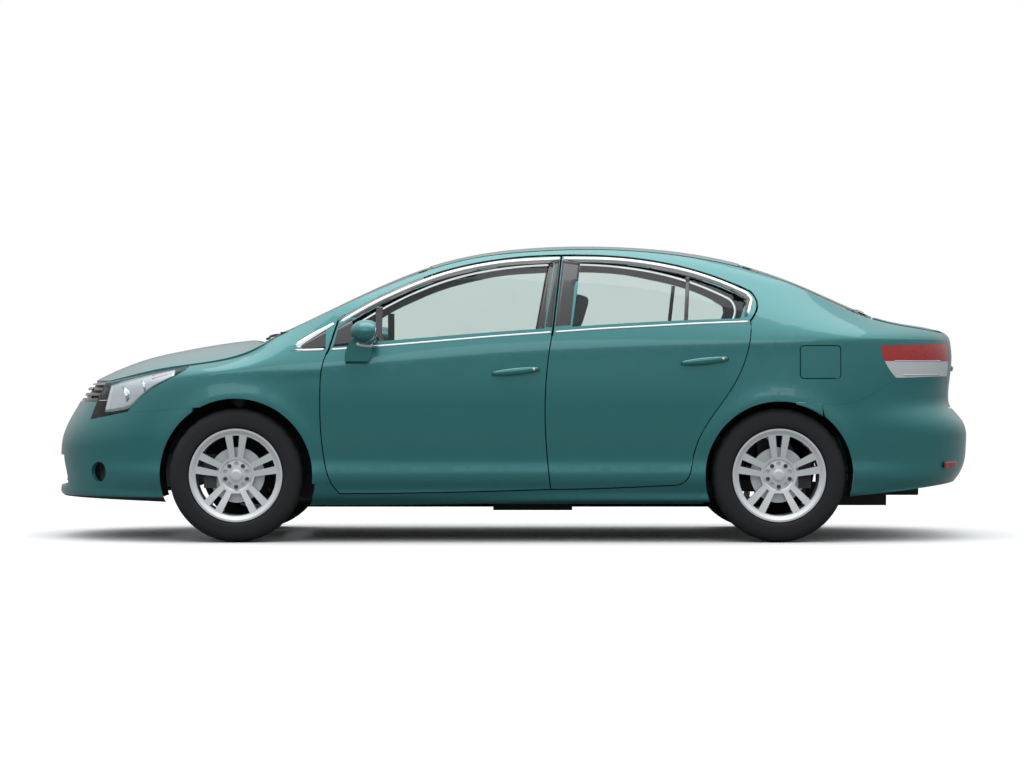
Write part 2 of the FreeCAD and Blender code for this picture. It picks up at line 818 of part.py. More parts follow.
lid_zone = lid_outline(shut_gap, 0.0).common(box(0, 3000, -FAR, FAR, at_z(LID_SEAM), 2000))
lid = largest(solid_between(lid_rows(0.0), lid_rows(LID_DEPTH)).common(lid_zone))
feature("boot_lid", lid)
lid_space = lid_outline(-0.5, -8.0)

# Side panels.

headlamp_face = outline(
    [(-2132, 610), (-2100, 700)],
    [(-2100, 700), (-2050, 830)],
    [(-2050, 830), (-2050, 960)],
    [(-2050, 960), (-1618, 960)],
    [(-1618, 960), (-1612, 872)],
    [(-1612, 872), (-1705, 813), (-1805, 760), (-1868, 710), (-1925, 650)],
    [(-1925, 650), (-2025, 630), (-2132, 610)],
)
bumper_face = outline(
    [(-1500, 672), (-1640, 667), (-1795, 654), (-1925, 650)],
    [(-1925, 650), (-2025, 630), (-2132, 610)],
    [(-2132, 610), (-2100, 700)],
    [(-2100, 700), (-2420, 700)],
    [(-2420, 700), (-2420, 100)],
    [(-2420, 100), (-1500, 100)],
    [(-1500, 100), (-1500, 672)],
)
fender_face = outline(
    [(-1015, 1400), (-1015, 1110)],
    [(-1015, 1110), (-980, 1046)],
    [(-980, 1046), (-1062, 1003), (-1096, 948)],
    [(-1096, 948), (-912, 957)],
    [(-912, 957), (-700, 957)],
    [(-700, 957), (-700, 292)],
    [(-700, 292), (-1360, 292)],
    [(-1360, 292), (-1500, 672)],
    [(-1500, 672), (-1640, 667), (-1795, 654), (-1925, 650)],
    [(-1925, 650), (-1868, 710), (-1805, 760), (-1705, 813), (-1612, 872)],
    [(-1612, 872), (-1618, 960)],
    [(-1618, 960), (-1618, 1400)],
    [(-1618, 1400), (-1015, 1400)],
)
lamp_face = outline(
    [(1834, 978), (2000, 984), (2160, 990)],
    [(2160, 990), (2440, 1000)],
    [(2440, 1000), (2440, 828)],
    [(2440, 828), (2160, 826)],
    [(2160, 826), (2020, 822), (1914, 820)],
    [(1914, 820), (1862, 890), (1834, 978)],
)
rear_bumper_face = outline(
    [(2440, 826), (2160, 824)],
    [(2160, 824), (2020, 820), (1914, 818)],
    [(1914, 818), (1825, 757), (1716, 703), (1560, 690)],
    [(1560, 690), (1400, 690)],
    [(1400, 690), (1400, 150)],
    [(1400, 150), (2440, 150)],
    [(2440, 150), (2440, 826)],
)
FLAP_EDGES = (1433.0, 1630.0, 818.0, 976.0)
FLAP_CORNER = 16.0


def flap_outline(grow):
    """The fuel flap's rounded square in side view."""
    x0, x1 = (at_x(x) for x in FLAP_EDGES[:2])
    z0, z1 = (at_z(z) for z in FLAP_EDGES[2:])
    radius = FLAP_CORNER + grow
    block = Part.makeBox(x1 - x0 + 2 * grow, 1, z1 - z0 + 2 * grow, Vector(x0 - grow, 0, z0 - grow))
    upright = [e for e in block.Edges if abs(e.BoundBox.YLength - 1) < 1e-6]
    rounded = block.makeFillet(radius, upright)
    front = min(rounded.Faces, key=lambda f: f.CenterOfMass.y)
    return front


def disc_cut(centre_x, radius, y_from, y_to):
    return Part.makeCylinder(radius, y_to - y_from, Vector(centre_x, y_from, float(axle_height)), Vector(0, 1, 0))


front_wheel_cut = disc_cut(float(front_axle), front_arch, -FAR, 0)
rear_wheel_cut = disc_cut(float(rear_axle), rear_arch, -FAR, 0)


def tapered_skin(z, x):
    rise = (z - shoulder_line(x)) / (rail_height(x) - shoulder_line(x))
    return skin - (skin - FLANGE) * smooth_step(rise, 0.0, 0.85)


fender_ws = spread(w_at(-1975), w_at(-900), 55.0)
fender = side_slab(fender_ws, lambda x: 200.0, None, 0.0, tapered_skin, spacing=45.0)
fender = fender.common(left_prism(fender_face))
door_cuts = [left_prism(grown(face, gap / 2)).common(part)
             for face in (front_door_face, rear_door_face)
             for gap, part in ((shut_gap, LOWER), (frame_gap, UPPER))]
for cut in [front_wheel_cut] + door_cuts[:2] + [hood_space]:
    fender = fender.cut(cut)
fender = largest(fender)
feature("front_fenders", Part.makeCompound([fender, mirrored(fender)]))

side_ws = spread(w_at(-1112), 1.97, 62.0)
side_low = Guide((-1112, 184), (-600, 184), (400, 197), (1327, 208), (2200, 300))
side = side_slab(side_ws, side_low, None, 0.0, depth, spacing=45.0)
LINER = 4.0
liner_space = disc_cut(float(front_axle), front_arch + liner_gap + LINER + 1, -FAR, 0)
for cut in door_cuts + [liner_space, rear_wheel_cut, lid_space]:
    side = side.cut(cut)
for face in (fender_face, lamp_face, rear_bumper_face):
    side = side.cut(left_prism(grown(face, seam_gap)))
FLAP_DEPTH = 4.0
FLAP_POCKET = 52.0
flap_slab = side_slab(spread(w_at(1380), w_at(1690), 50.0), lambda x: 780.0, lambda x: 1005.0, 0.0, FLAP_DEPTH,
                      spacing=45.0)
pocket_slab = side_slab(spread(w_at(1370), w_at(1700), 50.0), lambda x: 770.0, lambda x: 1015.0,
                        -20.0, FLAP_POCKET, spacing=45.0)
flap = largest(flap_slab.common(left_prism(flap_outline(0.0))))
flap_pocket = pocket_slab.common(left_prism(flap_outline(5.0)))
feature("fuel_flap", flap)
left_side = side.cut(flap_pocket)

# Inner pillars and sill, joined to the outer side.
SILL_FACE = 700.0
sill = side_slab(spread(w_at(-985), w_at(955), 80.0), lambda x: 190.0, lambda x: 232.0, 12.0, 190.0)
sill = sill.common(box(-2000, 2000, -FAR, -at_y(SILL_FACE), 0, 400))
hinge_pillar = side_slab(spread(w_at(-1085), w_at(-962), 60.0), lambda x: 200.0, lambda x: 990.0, skin + 6, 92.0)
hinge_pillar = hinge_pillar.cut(liner_space)
MIDDLE_LOW_INSET = 112.0
MIDDLE_HIGH_INSET = 60.0


def pillar_inset(extra):
    def inset(z, x):
        edge = belt(x)
        low = MIDDLE_LOW_INSET
        return extra + low + (MIDDLE_HIGH_INSET - low) * smooth_step(z, edge - 60, edge + 40)
    return inset


pillar_face = outline(
    [(112, 200), (288, 200)], [(288, 200), (275, 800), (322, 1470)], [(322, 1470), (214, 1470)],
    [(214, 1470), (135, 900), (112, 200)],
)
middle_pillar = side_slab(spread(w_at(60), w_at(380), 50.0), lambda x: 196.0, lambda x: 1470.0,
                          pillar_inset(0.0), pillar_inset(36.0), spacing=45.0).common(left_prism(pillar_face))
roof_space = cabin_slab(-60.0, roof_depth + float(seat_gap)).common(
    band_prism(bow(*SCREEN_TOP, PILLAR), bow(*LIGHT_TOP, PILLAR), (-395, 1147), PILLAR))
middle_pillar = middle_pillar.cut(box(-2000, 2000, -at_y(SILL_FACE), 0, 0, 400)).cut(roof_space)
cant_face = outline(
    [(205, 1446), (330, 1442)], [(330, 1442), (330, 1475)],
    [(330, 1475), (205, 1475)], [(205, 1475), (205, 1446)],
)
cant_link = side_slab(spread(w_at(150), w_at(400), 50.0), lambda x: 1400.0, None, 30.0, 98.0,
                      spacing=30.0).common(left_prism(cant_face)).cut(roof_space)


def trimmed_side(outer):
    whole = outer.fuse(sill).fuse(hinge_pillar).fuse(middle_pillar).fuse(cant_link)
    return largest(whole)


body_left = trimmed_side(left_side)
body_right = mirrored(trimmed_side(side))
feature("body_sides", Part.makeCompound([body_left, body_right]))

# Bumpers, lamps and grille.

nose_ws, nose_sides = nose_stations(-1600.0)
nose_slab = side_slab(nose_ws, bottom_line, lambda x: 720.0, 0.0, skin, spacing=45.0, sides=nose_sides)
INTAKE_HALF = 430.0
intake = Part.Face(Part.makePolygon([
    Vector(-2600, at_y(-INTAKE_HALF), 268), Vector(-2600, at_y(INTAKE_HALF), 268),
    Vector(-2600, at_y(INTAKE_HALF - 60), 425), Vector(-2600, at_y(-INTAKE_HALF + 60), 425),
    Vector(-2600, at_y(-INTAKE_HALF), 268)])).extrude(Vector(600, 0, 0))
FOG_AT = (-2082.0, 672.0, 347.0)
FOG_RADIUS = 50.0
fog_aim = Vector(-0.80, -0.60, 0)


def fog_cylinder(radius, start, end, side=-1):
    aim = Vector(fog_aim.x, fog_aim.y * -side, 0)
    centre = real_point(FOG_AT[0], side * FOG_AT[1], FOG_AT[2])
    return Part.makeCylinder(radius, end - start, centre + aim * start, aim)


bumper_zone = across(shifted(bumper_face, -seam_gap, -seam_gap), -FAR, FAR)
both_wheel_cuts = disc_cut(float(front_axle), front_arch, -FAR, FAR)
front_bumper = nose_slab.common(bumper_zone).cut(both_wheel_cuts).cut(intake)
for fog_side in (-1, 1):
    front_bumper = front_bumper.cut(fog_cylinder(FOG_RADIUS, -120, 200, fog_side))
feature("front_bumper", largest(front_bumper))

rear_ws2, rear_sides = tail_stations(1560.0)
rear_slab = side_slab(rear_ws2, bottom_line, lambda x: 840.0, 0.0, skin, spacing=45.0, sides=rear_sides)
rear_zone = across(rear_bumper_face, -FAR, FAR)
rear_cuts = disc_cut(float(rear_axle), rear_arch, -FAR, FAR)
lid_hole = lid_space.common(box(0, 3000, -FAR, FAR, at_z(LID_SEAM) - shut_gap, 2000))
rear_bumper = largest(rear_slab.common(rear_zone).cut(rear_cuts).cut(lid_hole))
feature("rear_bumper", rear_bumper)

LAMP_DEPTH = 42.0
head_ws = spread(w_at(-2260), w_at(-1560), 45.0)


headlamp = side_slab(head_ws, lambda x: 580.0, rail_height, 0.0, LAMP_DEPTH, spacing=40.0)
headlamp = headlamp.common(left_prism(shifted(headlamp_face, -seam_gap / 3, seam_gap), -FAR, -200.0))
headlamp = headlamp.cut(hood_space)
headlamp = largest(headlamp)
fog_lens = fog_cylinder(FOG_RADIUS - float(seat_gap), -45, -25, -1)
feature("headlamps", Part.makeCompound([headlamp, mirrored(headlamp), fog_lens, mirrored(fog_lens)]))

tail_lamp_ws = spread(w_at(1790), 1.995, 45.0)
tail_lamp = side_slab(tail_lamp_ws, lambda x: 790.0, lambda x: 1015.0, 0.0, LAMP_DEPTH, spacing=40.0)
tail_lamp = tail_lamp.common(left_prism(lamp_face)).cut(lid_outline(-0.5, -8.0))
tail_lamp = largest(tail_lamp)
feature("tail_lamps", Part.makeCompound([tail_lamp, mirrored(tail_lamp)]))

GRILLE_LOW = 702.0
GRILLE_HIGH = 796.0
BAR_HEIGHT = 13.0
BARS = 4
grille_ws, grille_sides = nose_stations(-2010.0, 50.0)
grille_slab = side_slab(grille_ws, lambda x: GRILLE_LOW - 10, lambda x: min(GRILLE_HIGH, rail_height(x) - 1), 4.0,
                        26.0, spacing=25.0, sides=grille_sides)
lamp_zones = across(grown(headlamp_face, 1.0), -FAR, FAR)
grille_slab = grille_slab.cut(lamp_zones).cut(hood_space)
grille_parts = []
bar_pitch = (GRILLE_HIGH - GRILLE_LOW - BAR_HEIGHT) / (BARS - 1)
for k in range(BARS):
    low = at_z(GRILLE_LOW + k * bar_pitch)
    grille_parts.append(grille_slab.common(box(-2500, -1900, -FAR, FAR, low, low + BAR_HEIGHT)))
back = side_slab(grille_ws, lambda x: GRILLE_LOW - 10, lambda x: min(GRILLE_HIGH, rail_height(x) - 1), 22.0, 34.0,
                 spacing=25.0, sides=grille_sides).cut(lamp_zones).cut(hood_space)
back = back.common(box(-2500, -1900, -FAR, FAR, at_z(GRILLE_LOW), at_z(GRILLE_HIGH)))
upper_grille = back
for part in grille_parts:
    upper_grille = upper_grille.fuse(part)
lower_slab_args = dict(spacing=40.0, sides=nose_sides)
lower_back = side_slab(nose_ws, lambda x: 250.0, lambda x: 440.0, skin + 4, skin + 26, **lower_slab_args)
lower_grille = lower_back.common(box(-2600, -1900, -at_y(INTAKE_HALF + 12), at_y(INTAKE_HALF + 12), 262, 432))
for k in range(5):
    z = 274 + k * 30
    lower_grille = lower_grille.cut(box(-2600, -1900, -at_y(INTAKE_HALF - 20), at_y(INTAKE_HALF - 20), z, z + 18))
feature("grille", Part.makeCompound([largest(upper_grille), largest(lower_grille)]))

cowl_xs = steps_between(-1360.0, -1050.0, 45.0)
cowl_slab = top_slab(cabin_crown, cowl_xs, 4.0 + glass + float(seat_gap), 22.0, ROOF_EXPONENT, reach=1.0)
cowl_front = bow(-1212, -1333, FLANGE + 8)
cowl_rear = bow(SCREEN_BASE[0], SCREEN_BASE[1], FLANGE + 30, 25.0)
cowl_plan = plan_prism([cowl_front[0], cowl_rear[0]], cowl_rear, [cowl_rear[-1], cowl_front[-1]], cowl_front[::-1])
cowl = largest(cowl_slab.common(cowl_plan).cut(hood_space).cut(body_left).cut(body_right))
feature("cowl", cowl)



# Wheels: the wheel axis is the local Z axis, pointing outboard.

def bind(item, name, dim):
    """Sets a property to a size and keeps it tied to the sheet."""
    if isinstance(dim, Dim):
        item.setExpression(name, dim.text)


def sketch_on(body, role, name):
    sketch = body.newObject("Sketcher::SketchObject", name)
    plane = [f for f in body.Origin.OriginFeatures if f.Role == role][0]
    sketch.AttachmentSupport = [(plane, "")]
    sketch.MapMode = "FlatFace"
    return sketch


def draw_polygon(sketch, corners):
    """A closed outline of straight lines whose corners are tied to the sheet."""
    points = [Vector(float(Dim.of(a)), float(Dim.of(b)), 0) for a, b in corners]
    count = len(points)
    for k in range(count):
        sketch.addGeometry(Part.LineSegment(points[k], points[(k + 1) % count]), False)
    for k in range(count):
        sketch.addConstraint(Sketcher.Constraint("Coincident", k, 2, (k + 1) % count, 1))
    for k, (a, b) in enumerate(corners):
        for kind, dim in (("DistanceX", a), ("DistanceY", b)):
            dim = Dim.of(dim)
            if abs(float(dim)) < 1e-9:
                axis = -2 if kind == "DistanceX" else -1
                sketch.addConstraint(Sketcher.Constraint("PointOnObject", k, 1, axis))
                continue
            index = sketch.addConstraint(Sketcher.Constraint(kind, -1, 1, k, 1, float(dim)))
            sketch.setExpression(f"Constraints[{index}]", dim.text)


def draw_circle(sketch, x, y, radius):
    sketch.addGeometry(Part.Circle(Vector(float(Dim.of(x)), float(Dim.of(y)), 0), Vector(0, 0, 1),
                                   float(Dim.of(radius))), False)
    last = sketch.GeometryCount - 1
    for kind, dim in (("DistanceX", x), ("DistanceY", y)):
        dim = Dim.of(dim)
        if abs(float(dim)) < 1e-9:
            axis = -2 if kind == "DistanceX" else -1
            sketch.addConstraint(Sketcher.Constraint("PointOnObject", last, 3, axis))
            continue
        index = sketch.addConstraint(Sketcher.Constraint(kind, -1, 1, last, 3, float(dim)))
        sketch.setExpression(f"Constraints[{index}]", dim.text)
    index = sketch.addConstraint(Sketcher.Constraint("Radius", last, float(Dim.of(radius))))
    sketch.setExpression(f"Constraints[{index}]", Dim.of(radius).text)


def revolve(body, sketch, name):
    turn = body.newObject("PartDesign::Revolution", name)
    turn.Profile = sketch
    turn.ReferenceAxis = (sketch, ["V_Axis"])
    turn.Angle = 360
    sketch.Visibility = False
    body.Tip = turn
    return turn


def pocket_round(body, sketch, name, copies):
    """Cuts a sketch right through, repeated round the axis."""
    cut = body.newObject("PartDesign::Pocket", name)
    cut.Profile = sketch
    cut.Type = 1
    cut.SideType = 2
    cut.Midplane = True
    ring = body.newObject("PartDesign::PolarPattern", name + "Ring")
    ring.Originals = [cut]
    z_axis = [f for f in body.Origin.OriginFeatures if f.Role == "Z_Axis"][0]
    ring.Axis = (z_axis, [""])
    ring.Angle = 360
    ring.Occurrences = round(float(copies))
    body.Tip = ring
    return ring


spoke_pairs = size("spoke_pairs")
stud_circle = size("stud_circle")
disc_radius = size("disc_radius")
disc_thickness = size("disc_thickness")
half_rim = rim_width / 2
bead_radius = rim_radius - 13
HUB_FACE = 45.0
SPOKE_FACE = 76.0
NUT_HOLE = 11.5
HUB_BORE = 30.0
hub_radius = stud_circle / 2 + 22


def wheel_body(label):
    body = doc.addObject("PartDesign::Body", label)
    profile = sketch_on(body, "XZ_Plane", label + "Profile")
    well = bead_radius - 24
    shell = 9
    draw_polygon(profile, [
        (bead_radius - shell - 4, -half_rim),
        (rim_radius, -half_rim),
        (rim_radius, -half_rim + 7),
        (bead_radius, -half_rim + 9),
        (bead_radius, -half_rim + 34),
        (well, -half_rim + 52),
        (well, half_rim - 62),
        (bead_radius, half_rim - 40),
        (bead_radius, half_rim - 9),
        (rim_radius, half_rim - 7),
        (rim_radius, half_rim),
        (rim_radius - 9, half_rim),
        (bead_radius - 14, Dim.of(SPOKE_FACE + 8)),
        (bead_radius - 60, Dim.of(SPOKE_FACE + 2)),
        (hub_radius, Dim.of(SPOKE_FACE - 12)),
        (hub_radius - 8, Dim.of(SPOKE_FACE - 16)),
        (Dim.of(HUB_BORE + 6), Dim.of(SPOKE_FACE - 12)),
        (Dim.of(0), Dim.of(SPOKE_FACE - 8)),
        (Dim.of(0), Dim.of(HUB_FACE)),
        (hub_radius, Dim.of(HUB_FACE)),
        (bead_radius - 60, Dim.of(SPOKE_FACE - 26)),
        (bead_radius - 24, Dim.of(SPOKE_FACE - 22)),
        (well - shell, half_rim - 72),
        (well - shell, -half_rim + 48),
        (bead_radius - shell, -half_rim + 28),
    ])
    revolve(body, profile, label + "Turn")
    doc.recompute()
    outer = bead_radius - 18
    slot = sketch_on(body, "XY_Plane", label + "Slot")
    draw_polygon(slot, [
        (Dim.of(-7), hub_radius + 12), (Dim.of(7), hub_radius + 12),
        (Dim.of(17), outer - 3), (Dim.of(-17), outer - 3),
    ])
    pocket_round(body, slot, label + "Slots", spoke_pairs)
    window = sketch_on(body, "XY_Plane", label + "Window")
    share = math.pi / float(spoke_pairs)
    rim_share = share - 55.0 / float(outer)
    hub_share = share - 35.0 / float(hub_radius + 14)

    def on_circle(radius, angle):
        return radius * math.cos(angle), radius * math.sin(angle)

    middle = math.pi / 2 + share
    corners = [on_circle(hub_radius + 14, middle + hub_share * k) for k in (1, -1)]
    corners += [on_circle(outer, middle + rim_share * k) for k in (-1, -0.5, 0, 0.5, 1)]
    draw_polygon(window, corners)
    pocket_round(body, window, label + "Windows", spoke_pairs)
    nuts = sketch_on(body, "XY_Plane", label + "Nuts")
    draw_circle(nuts, Dim.of(0), stud_circle / 2, Dim.of(NUT_HOLE))
    pocket_round(body, nuts, label + "NutHoles", Dim.of(5))
    doc.recompute()
    return body


def cylinder(name, radius, height, base, direction=(0, 0, 1)):
    item = doc.addObject("Part::Cylinder", name)
    for prop, dim in (("Radius", radius), ("Height", height)):
        setattr(item, prop, float(Dim.of(dim)))
        bind(item, prop, Dim.of(dim))
    place(item, base, Rotation(Vector(0, 0, 1), Vector(*direction)))
    return item


def block(name, lengths, corner):
    item = doc.addObject("Part::Box", name)
    for prop, dim in zip(("Length", "Width", "Height"), lengths):
        setattr(item, prop, float(Dim.of(dim)))
        bind(item, prop, Dim.of(dim))
    place(item, corner, Rotation())
    return item


def place(item, base, rotation):
    item.Placement = Placement(Vector(*(float(Dim.of(b)) for b in base)), rotation)
    for letter, dim in zip("xyz", base):
        bind(item, f"Placement.Base.{letter}", Dim.of(dim))


def fused(label, items):
    whole = doc.addObject("Part::MultiFuse", label)
    whole.Shapes = items
    whole.Refine = True
    whole.Label = label
    PIECES.append(whole)
    return whole


def cut_from(name, base, tool):
    item = doc.addObject("Part::Cut", name)
    item.Base = base
    item.Tool = tool
    return item


CORNERS = (
    ("front_left", front_axle, -1),
    ("front_right", front_axle, 1),
    ("rear_left", rear_axle, -1),
    ("rear_right", rear_axle, 1),
)
tread_half = tyre_width / 2 - 30
for corner, axle_x, side_sign in CORNERS:
    turn_out = Rotation(Vector(0, 0, 1), Vector(0, side_sign, 0))
    body = wheel_body("rim_" + corner)
    disc = cylinder("disc_" + corner, disc_radius, disc_thickness, (0, 0, HUB_FACE - 50))
    hat = cylinder("hat_" + corner, 72, 52, (0, 0, HUB_FACE - 50))
    wheel = doc.addObject("Part::MultiFuse", "wheel_" + corner)
    wheel.Shapes = [body, disc, hat]
    wheel.Label = "wheel_" + corner
    place(wheel, (axle_x, half_track * side_sign, axle_height), turn_out)
    PIECES.append(wheel)
    tyre = doc.addObject("PartDesign::Body", "tyre_" + corner)
    tyre.Label = "tyre_" + corner
    tread = sketch_on(tyre, "XZ_Plane", "tread_" + corner)
    bead = bead_radius + seat_gap
    draw_polygon(tread, [
        (bead, -half_rim + 9.5),
        (bead + 16, -half_rim + 9.5),
        (bead + 30, -tyre_width / 2 + 3),
        (bead + 52, -tyre_width / 2),
        (tyre_radius - 34, -tyre_width / 2 + 3),
        (tyre_radius - 12, -tread_half - 12),
        (tyre_radius - 3, -tread_half),
        (tyre_radius, -tread_half + 26),
        (tyre_radius, tread_half - 26),
        (tyre_radius - 3, tread_half),
        (tyre_radius - 12, tread_half + 12),
        (tyre_radius - 34, tyre_width / 2 - 3),
        (bead + 52, tyre_width / 2),
        (bead + 30, tyre_width / 2 - 3),
        (bead + 16, half_rim - 9.5),
        (bead, half_rim - 9.5),
    ])
    revolve(tyre, tread, "tyre_turn_" + corner)
    place(tyre, (axle_x, half_track * side_sign, axle_height), turn_out)
    PIECES.append(tyre)
doc.recompute()

# Steering knuckles with strut and caliper, turning about an upright kingpin.

SPRING_RADIUS = 52.0
STRUT_INSET = 62.0

kingpin_y = half_track - size("kingpin_inset")
disc_inner = half_track + (HUB_FACE - 50) - 1
CALIPER_GAP = 3.0


def caliper(name, x, y_sign, ahead):
    """A caliper astride the disc, as a block with a slot for the disc, ahead of the axle or behind it."""
    inner_y = disc_inner - 24 - CALIPER_GAP
    reach = disc_thickness + 2 * CALIPER_GAP + 24 + 13
    start = inner_y if y_sign > 0 else -(inner_y + reach)
    low_x = x - disc_radius - 26 if ahead else x + disc_radius - 36
    body = block(name + "_outer", (62, reach, 130), (low_x, start, axle_height - 65))
    gap_start = inner_y + 24
    gap_y = gap_start if y_sign > 0 else -(gap_start + disc_thickness + 2 * CALIPER_GAP)
    slot = cylinder(name + "_slot", disc_radius + 5, disc_thickness + 2 * CALIPER_GAP,
                    (x, gap_y, axle_height), (0, 1, 0))
    return cut_from(name + "_body", body, slot)


for name, y_sign in (("left", -1), ("right", 1)):
    label = "knuckle_" + name
    hub_y = half_track + HUB_FACE - 50 - seat_gap
    upright = cylinder(label + "_hub", 52, 46, (front_axle, hub_y * y_sign, axle_height), (0, -y_sign, 0))
    arm = block(label + "_arm", (70, 40, 90 + 70), (front_axle - 35, kingpin_y * y_sign - 20, axle_height - 105))
    boss = cylinder(label + "_ball", 20, 20, (front_axle, kingpin_y * y_sign, axle_height - 112), (0, 0, 1))
    link_y = (kingpin_y - 86) * y_sign - (10 if y_sign > 0 else 86)
    link = block(label + "_bracket", (56, 96, 34), (front_axle - 28, link_y, axle_height + 30))
    strut_y = (kingpin_y - STRUT_INSET) * y_sign
    strut = cylinder(label + "_strut", 25, 418, (front_axle, strut_y, axle_height + 20), (0, 0, 1))
    spring = cylinder(label + "_spring", SPRING_RADIUS, 94, (front_axle, strut_y, axle_height + 344), (0, 0, 1))
    brake = caliper(label + "_caliper", front_axle, y_sign, True)
    tie_low, tie_high = sorted((y_sign * float(kingpin_y - 10), y_sign * float(disc_inner - 17)))
    mount = block(label + "_mount", (125, tie_high - tie_low, 44), (front_axle - 145, tie_low, axle_height - 22))
    fused(label, [upright, arm, boss, link, strut, spring, brake, mount])
doc.recompute()

# Platform: floor, tunnel, bulkheads and front rails.

cabin_front = at_x(-1060)
heel = at_x(850)
floor_end = at_x(2190)
half_floor = at_y(SILL_FACE) - float(seat_gap)
plate = float(floor_thickness)
deck_level = float(floor_height) + 130
floor_parts = []


def panel(name, x0, x1, y0, y1, z0, z1):
    item = block(name, (x1 - x0, y1 - y0, z1 - z0), (x0, y0, z0))
    floor_parts.append(item)
    return item


floor_z = float(floor_height)
toe = at_x(-965)
arch_wall = at_y(455)
toe_top = at_z(617)
panel("floor_left", toe, heel, -half_floor, -100, floor_z - plate, floor_z)
panel("floor_right", toe, heel, 100, half_floor, floor_z - plate, floor_z)
panel("toe_left", cabin_front, toe, -arch_wall, -100, floor_z - plate, floor_z)
panel("toe_right", cabin_front, toe, 100, arch_wall, floor_z - plate, floor_z)
panel("tunnel_left", cabin_front, heel, -112, -100, floor_z, floor_z + 110)
panel("tunnel_right", cabin_front, heel, 100, 112, floor_z, floor_z + 110)
panel("tunnel_top", cabin_front, heel, -112, 112, floor_z + 98, floor_z + 110)
panel("firewall", cabin_front - plate, cabin_front, -arch_wall, arch_wall, floor_z - plate, at_z(930))
panel("upper_firewall", cabin_front - plate, cabin_front, -half_floor, half_floor, toe_top - plate, at_z(930))
for sign in (-1, 1):
    low, high = sorted((sign * arch_wall, sign * half_floor))
    panel(f"toe_wall_{high:.0f}", toe - plate, toe, low, high, floor_z - plate, toe_top)
    panel(f"toe_shelf_{high:.0f}", cabin_front - plate, toe, low, high, toe_top - plate, toe_top)
    low, high = sorted((sign * (arch_wall - plate), sign * arch_wall))
    panel(f"arch_wall_{high:.0f}", cabin_front - plate, toe, low, high, floor_z - plate, toe_top)
panel("heel_board", heel - plate, heel, -half_floor, half_floor, floor_z - plate, deck_level)
panel("seat_pan", heel - plate, at_x(1300), -at_y(545), at_y(545), deck_level - plate, deck_level)
panel("boot_floor", at_x(1300), floor_end, -at_y(545), at_y(545), deck_level - plate, deck_level)
panel("rear_bulkhead", at_x(1330), at_x(1330) + plate, -at_y(545), at_y(545), deck_level, at_z(1070))
panel("parcel_shelf", at_x(1330), at_x(1790), -at_y(600), at_y(600), at_z(1058), at_z(1070))
panel("rear_panel", floor_end - plate, floor_end, -at_y(545), at_y(545), deck_level - plate, at_z(640))
for sign in (-1, 1):
    low, high = sorted((sign * at_y(380), sign * at_y(440)))
    panel(f"rail_{high:.0f}", at_x(-2110), cabin_front, low, high, at_z(430), at_z(530))
    low, high = sorted((sign * at_y(452), sign * at_y(460)))
    panel(f"apron_{high:.0f}", at_x(-2020), cabin_front, low, high, at_z(430), at_z(790))
    low, high = sorted((sign * at_y(440), sign * at_y(452)))
    panel(f"apron_foot_{high:.0f}", at_x(-2050), cabin_front, low, high, at_z(430), at_z(530))
    low, high = sorted((sign * at_y(460), sign * at_y(690)))
    panel(f"ledge_{high:.0f}", at_x(-1720), cabin_front, low, high, at_z(790) - 10, at_z(790))
panel("radiator_panel", at_x(-2120), at_x(-2100), -at_y(500), at_y(500), at_z(300), at_z(660))
mount_half = size("engine_width") / 2 + seat_gap
for sign, low, high in ((-1, -at_y(382), -mount_half), (1, mount_half, at_y(382))):
    floor_parts.append(block(f"engine_mount_{sign + 1}", (70, high - low, 60),
                             (front_axle - 420, low, at_z(450))))
fused("floor_pan", floor_parts)

# Wheel liners: shells inside the arches.

LINER_FOOT = 224.0
BEHIND_BUMPER = 6.0


def behind_side(z, x):
    """Just inside the body side, and further on just inside the rear bumper."""
    return door_depth + 9 - (door_depth - skin) * smooth_step(x, 1450, 1520)


skin_zones = [side_slab(spread(w_at(low), w_at(high), 60.0), lambda x: 180.0, lambda x: 900.0, -60.0, inner)
              for low, high, inner in ((-2100, -900, skin + BEHIND_BUMPER), (800, 1850, behind_side))]


STEER_LOCK = math.radians(35)
STRUT_ROOM = 8.0
ARM_ROOM = 8.0


def strut_opening():
    """The way for a strut through the crown of a front liner, from lock to lock."""
    middle = STRUT_INSET * (1 + math.cos(STEER_LOCK)) / 2
    radius = STRUT_INSET * math.sin(STEER_LOCK) + SPRING_RADIUS + STRUT_ROOM
    return Part.makeCylinder(radius, 400, Vector(float(front_axle), float(kingpin_y) - middle,
                                                 float(axle_height) + 250), Vector(0, 0, 1))


def arm_opening():
    """The way for a trailing arm and its bushing through the front of a rear liner."""
    return box(rear_axle - 400 - ARM_ROOM, rear_axle - 300, 570 - ARM_ROOM, 620 + ARM_ROOM,
               LINER_FOOT - 20, axle_height - 1 + ARM_ROOM)


def liner(centre, radius, inner_y, outer_y, wall_low, openings, side_sign):
    inside = radius + liner_gap
    width = outer_y - inner_y
    across_car = Vector(0, 1, 0)
    wall_at = Vector(float(centre), inner_y, float(axle_height))
    shell = Part.makeCylinder(inside + LINER, width, wall_at, across_car)
    shell = shell.cut(Part.makeCylinder(inside, width, wall_at + across_car * LINER, across_car))
    shell = shell.common(box(-3000, 3000, 0, 2000, LINER_FOOT, 2000))
    for zone in skin_zones:
        shell = shell.cut(mirrored(zone))
    gap = box(float(centre) - inside, float(centre) + inside, inner_y - 1, inner_y + LINER + 1, 0, wall_low)
    for opening in [gap] + openings:
        shell = shell.cut(opening)
    shell = largest(shell)
    return shell if side_sign > 0 else mirrored(shell)


